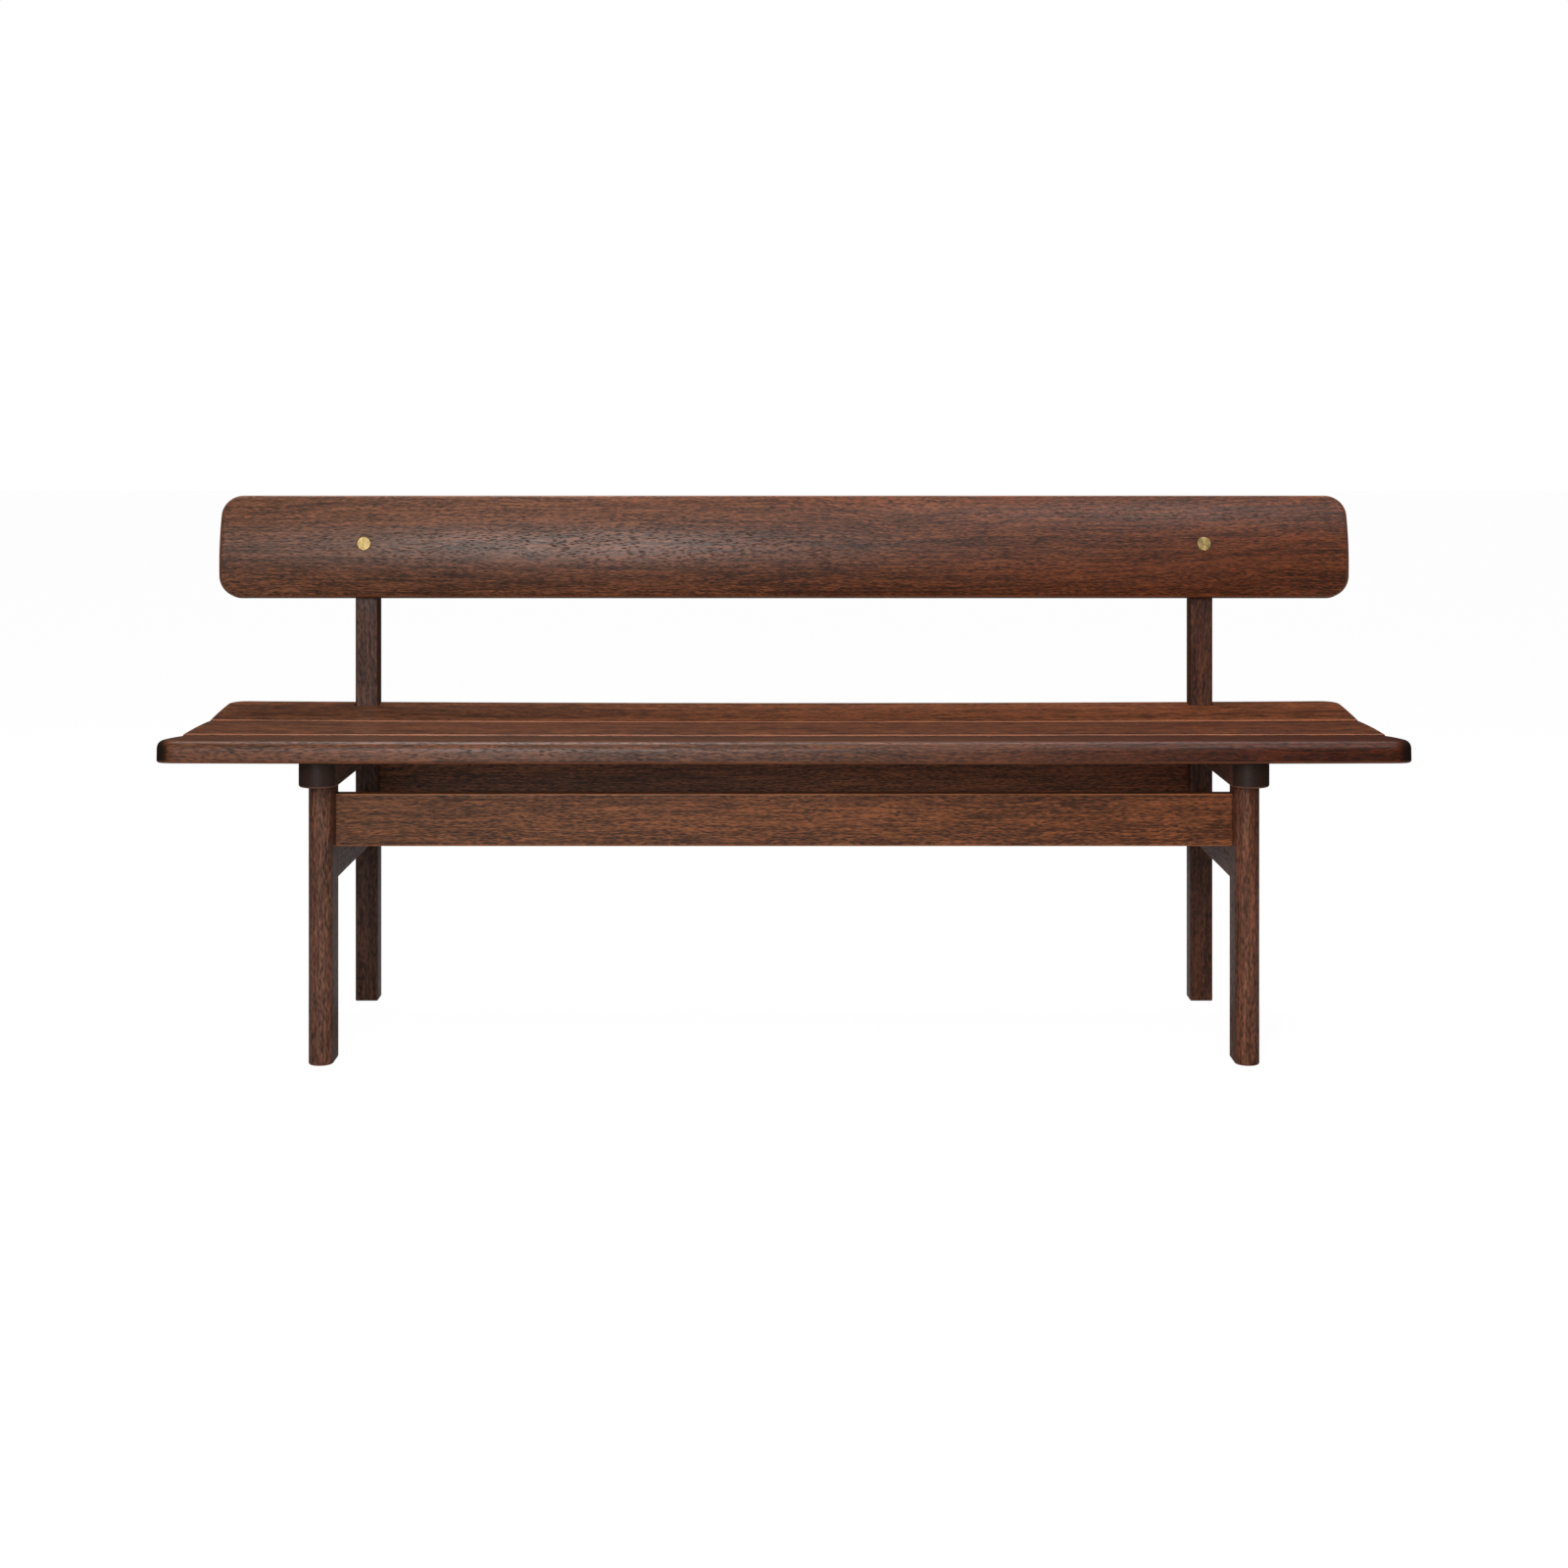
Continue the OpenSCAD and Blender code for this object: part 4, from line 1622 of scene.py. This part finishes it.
@dataclass
class RearPosts(Assembly):
    """The two square posts, cut back at the top to the rake of the board."""

    joints: Joinery
    arris: float = 0.0026
    foot_arris: float = 0.0016
    courses: int = 20
    top_courses: int = 5
    bolt_height: float = 0.077
    shank_hole: float = 0.0044
    barrel_hole: float = 0.00615
    head_hole: float = 0.0089
    barrel_start: float = 0.001
    barrel_end: float = 0.014

    def build(self) -> list[bpy.types.Object]:
        """Builds both posts.

        Returns:
            The pieces.
        """
        layout, post = self.layout, self.layout.post
        slant = layout.board.low.z + layout.slant_rise
        low, top = self.courses, self.top_courses
        steps = [slant * i / low for i in range(1, low + 1)]
        steps += [slant + (post.high.z - slant) * i / top for i in range(1, top)]
        made = []
        for side in SIDES:
            slab = Slab(post.size.y, post.size.x, post.high.z, (self.arris,) * 4, (self.foot_arris,) * 4,
                        (self.foot_arris,) * 4, long_steps=6, cross_steps=6, arc_steps=3, arris_steps=3,
                        levels=tuple(steps))
            left = side * layout.leg_x - post.size.x / 2

            def shape(point: Vector, lift: float) -> Vector:
                """Turns the post's depth onto Y and slants its face behind the board.

                Args:
                    point: a point of the square post, as the slab is drawn.
                    lift: not used, because a post has no crown.

                Returns:
                    Its place in the bench.
                """
                behind = post.size.y / 2 - point.x
                cut = max(0.0, point.z - slant) * math.tan(layout.rake)
                return Vector((left + point.y, post.high.y - behind * (1 - cut / post.size.y), point.z))

            name = f"{LEFT_RIGHT[side]}_rear_post"
            piece = slab.build(name + ".oiled", shape)
            joints, inward, back = self.joints, Vector((side, 0, 0)), Vector((0, 1, 0))
            worked(piece, "DIFFERENCE", box_mesh("mortises", [
                joints.mortise(joints.long_rail_tenon(side, True), inward),
                joints.mortise(joints.side_rail_tenon(side, True), back),
                joints.mortise(joints.bearer_tenon(side), back)]))
            far = post.size.y + 4 * PAST
            for radius, start, end in ((self.shank_hole, -far, PAST),
                                       (self.barrel_hole, -self.barrel_end, -self.barrel_start),
                                       (self.head_hole, -far, -self.barrel_end)):
                bored(piece, radius, start, end, layout.at_bolt(side, self.bolt_height), sides=48)
            # The posts take the darker copy of the frame wood, which paints their shade.
            finish = SHADED_POST_WOOD.material(name.replace("_", " "), Grain.UPRIGHT, seed=6.1 + side)
            made.append(self.dress(piece, name, Slot.FRAME, finish))
        return made


@dataclass
class Bearers(Assembly):
    """The two bars under the seat, round at the front and shaped to the planks."""

    joints: Joinery
    low_arris: float = 0.003
    high_arris: float = 0.0012
    shank_hole: float = 0.0029
    head_hole: float = 0.00515
    head_height: float = 0.0035

    def build(self) -> list[bpy.types.Object]:
        """Builds both bearers.

        Returns:
            The pieces.
        """
        layout, bearer = self.layout, self.layout.bearer
        nose, width = bearer.low.y, bearer.size.x
        length = layout.post.low.y - nose
        middle_under = layout.seat_top - layout.plank_depth
        made = []
        for side in SIDES:
            slab = Slab(length, width, middle_under - layout.bearer_bottom,
                        (width / 2, HIDDEN, HIDDEN, width / 2),
                        (self.low_arris, HIDDEN, self.low_arris, self.low_arris),
                        (self.high_arris, HIDDEN, self.high_arris, self.high_arris),
                        long_steps=60, cross_steps=2, arc_steps=10)
            left = side * layout.leg_x - width / 2

            def shape(point: Vector, lift: float) -> Vector:
                """Turns the bar's length onto Y and dishes its top.

                Args:
                    point: a point of the straight bar, as the slab is drawn.
                    lift: 0 for the underside, 1 for the top.

                Returns:
                    Its place in the bench.
                """
                y = nose + length / 2 + point.x
                raised = lift * (layout.plank_underside(y) - middle_under)
                return Vector((left + point.y, y, layout.bearer_bottom + point.z + raised))

            name = f"{LEFT_RIGHT[side]}_bearer"
            piece = slab.build(name + ".oiled", shape)
            joints, up, back = self.joints, Vector((0, 0, 1)), Vector((0, 1, 0))
            worked(piece, "UNION", box_mesh("tenon", [joints.rooted(joints.bearer_tenon(side), back)]))
            mortise = joints.mortise(joints.leg_tenon(side), up)
            worked(piece, "DIFFERENCE", box_mesh("mortise", [mortise]))
            bits = []
            for row in ("front", "middle", "rear"):
                for screw in islands(f"{row}_plank_screws"):
                    if screw.centre.x * side > 0:
                        head = screw.low.z + self.head_height
                        bit = turned("bit", ((self.head_hole, 0.0), (self.head_hole, head),
                                             (self.shank_hole, head + NEAR),
                                             (self.shank_hole, screw.high.z)), sides=40)
                        bit.matrix_world = Matrix.Translation((screw.centre.x, screw.centre.y, 0.0))
                        bits.append(bit)
            bpy.context.view_layer.update()
            worked(piece, "DIFFERENCE", joined("bits", bits))
            finish = FRAME_WOOD.material(name.replace("_", " "), Grain.FRONT_TO_BACK, seed=8.2 + side)
            made.append(self.dress(piece, name, Slot.FRAME, finish))
        return made


@dataclass
class Rails(Assembly):
    """The front and rear rails and the two side rails."""

    joints: Joinery
    arris: float = 0.0022
    unevenness: float = 0.0001
    step: float = 0.02
    fewest_steps: int = 16

    def rail(self, name: str, length: float, span: Span, shape: Callable[[Vector, float], Vector],
             depth: float) -> bpy.types.Object:
        """Builds a rail without its tenons.

        Args:
            name: name of the object.
            length: length between its shoulders.
            span: CAD box of the rail, for its height.
            shape: moves a point to its place.
            depth: thickness of the rail.

        Returns:
            The rail.
        """
        arris = (self.arris, HIDDEN, self.arris, HIDDEN)
        slab = Slab(length, span.size.z, depth, (HIDDEN,) * 4, arris, arris,
                    long_steps=max(self.fewest_steps, int(length / self.step)), cross_steps=5,
                    arc_steps=1, arris_steps=4)
        return slab.build(name, shape)

    def build(self) -> list[bpy.types.Object]:
        """Builds the four rails with their tenons.

        Returns:
            The pieces.
        """
        layout, joints = self.layout, self.joints
        made = []
        long_length = 2 * layout.leg_x - layout.leg_width
        for node, span, rear in (("front_rail", joints.long_rail, False),
                                 ("rear_rail", joints.back_rail, True)):

            def along(point: Vector, lift: float) -> Vector:
                """Stands the rail up, with its best face to the front."""
                proud = lift * wander(point, self.unevenness, span.low.y)
                return Vector((point.x, span.high.y - point.z + proud, span.low.z + point.y))

            rail = self.rail(node + ".oiled", long_length, span, along, span.size.y)
            tenons = [joints.rooted(joints.long_rail_tenon(side, rear), Vector((side, 0, 0)))
                      for side in SIDES]
            worked(rail, "UNION", box_mesh("tenons", tenons))
            finish = RAIL_WOOD.material(node.replace("_", " "), Grain.ALONG, seed=15.1 if rear else 17.6)
            made.append(self.dress(rail, node, Slot.FRAME, finish))
        start = layout.leg.high.y
        side_length = layout.post.low.y - start
        for side in SIDES:
            span = joints.side_rail
            outer = side * layout.leg_x - span.size.x / 2

            def across(point: Vector, lift: float) -> Vector:
                """Stands the rail up between leg and post."""
                along_it = start + side_length / 2 + point.x
                return Vector((outer + point.z, along_it, span.low.z + point.y))

            name = f"{LEFT_RIGHT[side]}_side_rail"
            rail = self.rail(name + ".oiled", side_length, span, across, span.size.x)
            tenons = [joints.rooted(joints.side_rail_tenon(side, rear), Vector((0, way, 0)))
                      for rear, way in ((False, -1), (True, 1))]
            worked(rail, "UNION", box_mesh("tenons", tenons))
            finish = FRAME_WOOD.material(name.replace("_", " "), Grain.FRONT_TO_BACK, seed=19.7 + side)
            made.append(self.dress(rail, name, Slot.FRAME, finish))
        return made


@dataclass
class Thread:
    """A screw thread cut into a rod."""

    pitch: float
    depth: float
    start: float
    end: float
    courses: int = 6
    flank: float = 2.4

    def cut(self, height: float, turn: float) -> float:
        """Depth of the thread, fading at both ends.

        Args:
            height: height on the rod.
            turn: angle round it.

        Returns:
            How far the surface lies inside the rod's radius.
        """
        if not self.start < height < self.end:
            return 0.0
        phase = (height / self.pitch - turn / (2 * math.pi)) % 1.0
        fade = min(1.0, (height - self.start) / self.pitch, (self.end - height) / self.pitch)
        return self.depth * fade * min(1.0, self.flank * abs(phase - 0.5))

    def heights(self) -> list[float]:
        """Heights of the courses that carry the thread."""
        count = int((self.end - self.start) / self.pitch * self.courses)
        return [self.start + (self.end - self.start) * i / count for i in range(1, count)]


def rounded_rim(radius: float, height: float, rim: float, steps: int = 4, down: bool = False) -> Places:
    """Profile of an outer edge rounded between a wall and a flat end.

    Args:
        radius: radius of the wall.
        height: height of the flat end.
        rim: radius of the rounding.
        steps: number of courses.
        down: whether the profile comes from the flat end down or out to the wall.

    Returns:
        Radius and height of each course, from the wall to the end, or back if down.
    """
    places = [(radius - rim * (1 - math.cos(math.pi / 2 * i / steps)),
               height - rim * (1 - math.sin(math.pi / 2 * i / steps))) for i in range(steps + 1)]
    return places[::-1] if down else places


@dataclass
class BackBolts(Assembly):
    """The slotted brass bolts and the sleeve nuts that take them."""

    bolt_height: float = 0.077
    head_radius: float = 0.010
    head_base: float = 0.0336
    head_height: float = 0.004
    rim: float = 0.0005
    shank: float = 0.004
    shank_end: float = -0.010
    tip: float = 0.0008
    pitch: float = 0.00125
    thread_depth: float = 0.0007
    threaded: float = 0.016
    thread_play: float = 0.00005
    slot: float = 0.002
    slot_depth: float = 0.0016
    barrel: float = 0.00575
    barrel_start: float = -0.001
    barrel_end: float = -0.014
    nut_head: float = 0.0085
    nut_head_height: float = 0.0025
    web: float = 0.001

    def bolt(self, name: str) -> bpy.types.Object:
        """Turns and slots one bolt, with its head on top.

        Args:
            name: name of the object.

        Returns:
            The bolt.
        """
        tip, top = self.tip, self.head_base + self.head_height
        thread = Thread(self.pitch, self.thread_depth, self.shank_end + tip,
                        self.shank_end + self.threaded)
        profile = [(self.shank - tip, self.shank_end), (self.shank, self.shank_end + tip)]
        profile += [(self.shank, height) for height in thread.heights()]
        profile += [(self.shank, self.head_base - NEAR),
                    (self.head_radius - self.rim, self.head_base),
                    (self.head_radius, self.head_base + self.rim)]
        profile += list(rounded_rim(self.head_radius, top, self.rim))
        profile += [(self.head_radius * share, top) for share in (0.75, 0.5, 0.25, 0.02)]
        bolt = turned(name, profile, 64, thread.cut)
        reach = 2 * self.head_radius
        slot = box_mesh("slot", [Span(Vector((-self.slot / 2, -reach, top - self.slot_depth)),
                                      Vector((self.slot / 2, reach, top + PAST)))])
        return worked(bolt, "DIFFERENCE", slot)

    def nut(self, name: str) -> bpy.types.Object:
        """Turns and slots one sleeve nut, with its head below.

        Args:
            name: name of the object.

        Returns:
            The nut.
        """
        low = self.barrel_end - self.nut_head_height
        profile = [(self.nut_head * share, low) for share in (0.02, 0.5)]
        profile += [(radius, 2 * low - height) for radius, height in
                    rounded_rim(self.nut_head, low, self.rim, down=True)]
        profile += [(self.nut_head, self.barrel_end - self.rim),
                    (self.nut_head - self.rim, self.barrel_end),
                    (self.barrel, self.barrel_end + NEAR), (self.barrel, self.barrel_start - self.rim),
                    (self.barrel - self.rim, self.barrel_start)]
        nut = turned(name, profile, sides=64)
        thread = self.shank + self.thread_play
        floor = low + self.slot_depth + self.web
        worked(nut, "DIFFERENCE", turned("bore", ((thread, floor), (thread, PAST)), sides=48))
        reach = 2 * self.nut_head
        slot = box_mesh("slot", [Span(Vector((-reach, -self.slot / 2, low - PAST)),
                                      Vector((reach, self.slot / 2, low + self.slot_depth)))])
        return worked(nut, "DIFFERENCE", slot)

    def build(self) -> list[bpy.types.Object]:
        """Builds a bolt and a sleeve nut for each post.

        Returns:
            The pieces.
        """
        finish = BRASS.material()
        made = []
        for side in SIDES:
            place = self.layout.at_bolt(side, self.bolt_height)
            for kind, make in (("back_bolt", self.bolt), ("sleeve_nut", self.nut)):
                node = f"{LEFT_RIGHT[side]}_{kind}"
                piece = make(node + ".turned")
                piece.matrix_world = place
                made.append(self.dress(piece, node, Slot.BRASS, finish))
        return made


@dataclass
class PlankScrews(Assembly):
    """The slotted wood screws that hold the planks from below."""

    radius: float = 0.0025
    head_radius: float = 0.00475
    head_height: float = 0.0035
    head_crown: float = 0.0022
    slot: float = 0.0012
    slot_depth: float = 0.0016
    rim: float = 0.0003
    crown_steps: int = 5
    plain: float = 0.013
    pitch: float = 0.0022
    thread_depth: float = 0.0009
    bare_tip: float = 0.0006
    tip_share: float = 0.28
    point: float = 0.0004
    slot_turn: float = 37.0

    def screw(self, span: Span) -> bpy.types.Object:
        """Turns one screw, head down.

        Args:
            span: the screw's solid in the CAD.

        Returns:
            The screw, with its place set.
        """
        length, rim = span.size.z, self.rim
        thread = Thread(self.pitch, self.thread_depth, self.head_height + self.plain,
                        length - self.bare_tip)
        profile = []
        for i in range(self.crown_steps + 1):
            bend = math.pi / 2 * i / self.crown_steps
            profile.append((max(0.0002, self.head_radius * math.sin(bend)),
                            self.head_crown * (1 - math.cos(bend))))
        profile += [(self.head_radius, self.head_height - rim),
                    (self.head_radius - rim, self.head_height), (self.radius, self.head_height + NEAR)]
        taper = 2 * self.radius
        for height in thread.heights():
            left = min(1.0, max(self.tip_share, (length - height) / taper))
            profile.append((self.radius * left, height))
        profile.append((self.point, length))

        def cut(height: float, turn: float) -> float:
            """Depth of the thread, fading towards the point."""
            return thread.cut(height, turn) * min(1.0, (length - height) / taper)

        screw = turned("screw", profile, sides=20, thread=cut)
        reach = 2 * self.head_radius
        slot = box_mesh("slot", [Span(Vector((-reach, -self.slot / 2, -PAST)),
                                      Vector((reach, self.slot / 2, self.slot_depth)))])
        worked(screw, "DIFFERENCE", slot)
        screw.matrix_world = (Matrix.Translation((span.centre.x, span.centre.y, span.low.z))
                              @ Matrix.Rotation(self.slot_turn * span.centre.y + span.centre.x, 4, "Z"))
        return screw

    def build(self) -> list[bpy.types.Object]:
        """Builds the three rows of screws.

        Returns:
            The pieces.
        """
        finish = STEEL.material()
        made = []
        for row in ("front", "middle", "rear"):
            node = f"{row}_plank_screws"
            screws = [self.screw(span) for span in islands(node)]
            bpy.context.view_layer.update()
            made.append(self.dress(joined(node + ".turned", screws), node, Slot.STEEL, finish))
        return made


# ---------------------------------------------------------------------------------------------
# Studio
# ---------------------------------------------------------------------------------------------


@dataclass(frozen=True)
class Softbox:
    """A rectangular soft light."""

    name: str
    place: tuple[float, float, float]
    towards: tuple[float, float, float]
    width: float
    height: float
    watts: float
    sheen: bool = True

    def build(self) -> None:
        """Hangs the light and aims it."""
        lamp = bpy.data.lights.new(self.name, "AREA")
        lamp.shape, lamp.size, lamp.size_y = "RECTANGLE", self.width, self.height
        lamp.energy = self.watts
        obj = bpy.data.objects.new(self.name, lamp)
        obj.location = self.place
        aim = Vector(self.towards) - Vector(self.place)
        obj.rotation_euler = aim.to_track_quat("-Z", "Y").to_euler()
        obj.visible_camera, obj.visible_glossy = False, self.sheen
        bpy.context.scene.collection.objects.link(obj)


@dataclass
class Studio:
    """Camera, pale floor and soft light."""

    eye: tuple[float, float, float] = (0.0, -3.461, 0.847)
    lens: float = 56.79
    sensor: float = 36.0
    rise: float = -0.2269
    floor_size: float = 60.0
    ambient: float = 0.12
    sheen_ambient: float = 0.03
    floor_white: float = 0.38
    floor_glow: float = 1.33
    glow_share: float = 0.73
    sheen_near: float = 0.10
    sheen_far: float = -0.34
    boxes: tuple[Softbox, ...] = (
        Softbox("tall window", (-0.66, -3.6, 1.82), (-0.25, 0.0, 0.60), 0.9, 2.1, 53.0),
        Softbox("high right", (1.0, -1.4, 2.6), (0.3, 0.0, 0.5), 1.2, 1.2, 11.0),
        Softbox("overhead", (0.0, 0.8, 3.0), (0.0, 0.1, 0.4), 3.0, 0.9, 37.0),
        Softbox("overhead left", (-0.75, 0.6, 3.0), (-0.5, 0.0, 0.4), 1.0, 0.8, 9.0),
        Softbox("front fill", (0.0, -4.5, 1.4), (0.0, 0.0, 0.5), 2.4, 1.6, 22.0, False),
        Softbox("top front", (0.0, -1.7, 3.1), (0.0, 0.0, 0.5), 2.6, 1.0, 8.0),
    )

    def camera(self) -> None:
        """Sets the camera, level and in front of the bench."""
        lens = bpy.data.cameras.new("camera")
        lens.lens, lens.sensor_width, lens.shift_y = self.lens, self.sensor, self.rise
        camera = bpy.data.objects.new("camera", lens)
        camera.location, camera.rotation_euler = self.eye, (math.pi / 2, 0.0, 0.0)
        bpy.context.scene.collection.objects.link(camera)
        bpy.context.scene.camera = camera

    def floor(self) -> None:
        """Lays a pale floor that stays almost white under the bench."""
        half = self.floor_size / 2
        corners = [Vector((x * half, y * half, 0)) for x, y in ((-1, -1), (1, -1), (1, 1), (-1, 1))]
        floor = mesh_object("floor", corners, [(0, 1, 2, 3)])
        material = bpy.data.materials.new("pale floor")
        material.use_nodes = True
        tree = Shading(material.node_tree)
        path = tree.add("LightPath")
        far = tree.add("VectorMath", {0: tree.add("TexCoord").outputs["Object"]}, operation="LENGTH")
        dim = tree.ranged(far.outputs["Value"], 0.9, 2.6, self.sheen_near, self.sheen_far)
        white = tree.maths("MULTIPLY_ADD", path.outputs["Is Glossy Ray"], dim, self.floor_white)
        matt = tree.add("BsdfDiffuse", {"Color": white})
        glow = tree.add("Emission", {"Color": (1, 1, 1, 1), "Strength": self.floor_glow})
        seen = tree.maths("MULTIPLY", path.outputs["Is Camera Ray"], self.glow_share)
        both = tree.add("MixShader", {0: seen, 1: matt.outputs[0], 2: glow.outputs[0]})
        tree.add("OutputMaterial", {"Surface": both.outputs[0]})
        floor.data.materials.append(material)
        floor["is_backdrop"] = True

    def surround(self) -> None:
        """Fills the room with even light, white behind the bench and softer in reflections."""
        world = bpy.data.worlds.new("studio")
        bpy.context.scene.world = world
        world.use_nodes = True
        tree = Shading(world.node_tree)
        path = tree.add("LightPath")
        seen = tree.maths("MULTIPLY", path.outputs["Is Camera Ray"], 1.0 - self.ambient)
        mirrored = tree.maths("MULTIPLY", path.outputs["Is Glossy Ray"],
                              self.sheen_ambient - self.ambient)
        strength = tree.maths("ADD", tree.maths("ADD", seen, mirrored), self.ambient)
        light = tree.add("Background", {"Color": (1, 1, 1, 1), "Strength": strength})
        tree.add("OutputWorld", {"Surface": light.outputs[0]})

    def build(self) -> None:
        """Builds the studio."""
        bpy.context.scene.view_settings.view_transform = "Standard"
        self.camera()
        self.floor()
        self.surround()
        for box in self.boxes:
            box.build()


def write_sizes() -> None:
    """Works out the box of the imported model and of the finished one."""
    corners = {"cad": CAD_BOX, "visual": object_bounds()}
    {name: [list(low), list(high)] for name, (low, high) in corners.items()}


def main() -> None:
    """Builds the studio and the pew, and reports each piece."""
    logging.basicConfig(level=logging.INFO, format="%(name)s: %(message)s")
    Studio().build()
    layout = Layout()
    joints = Joinery(layout)
    for assembly in (SeatPlanks(layout), BackBoard(layout), FrontLegs(layout, joints),
                     RearPosts(layout, joints), Bearers(layout, joints), Rails(layout, joints),
                     BackBolts(layout), PlankScrews(layout)):
        for piece in assembly.build():
            LOG.info("%s: %s, %d faces", type(assembly).__name__, piece.name, len(piece.data.polygons))
    write_sizes()


if __name__ == "__main__":
    main()
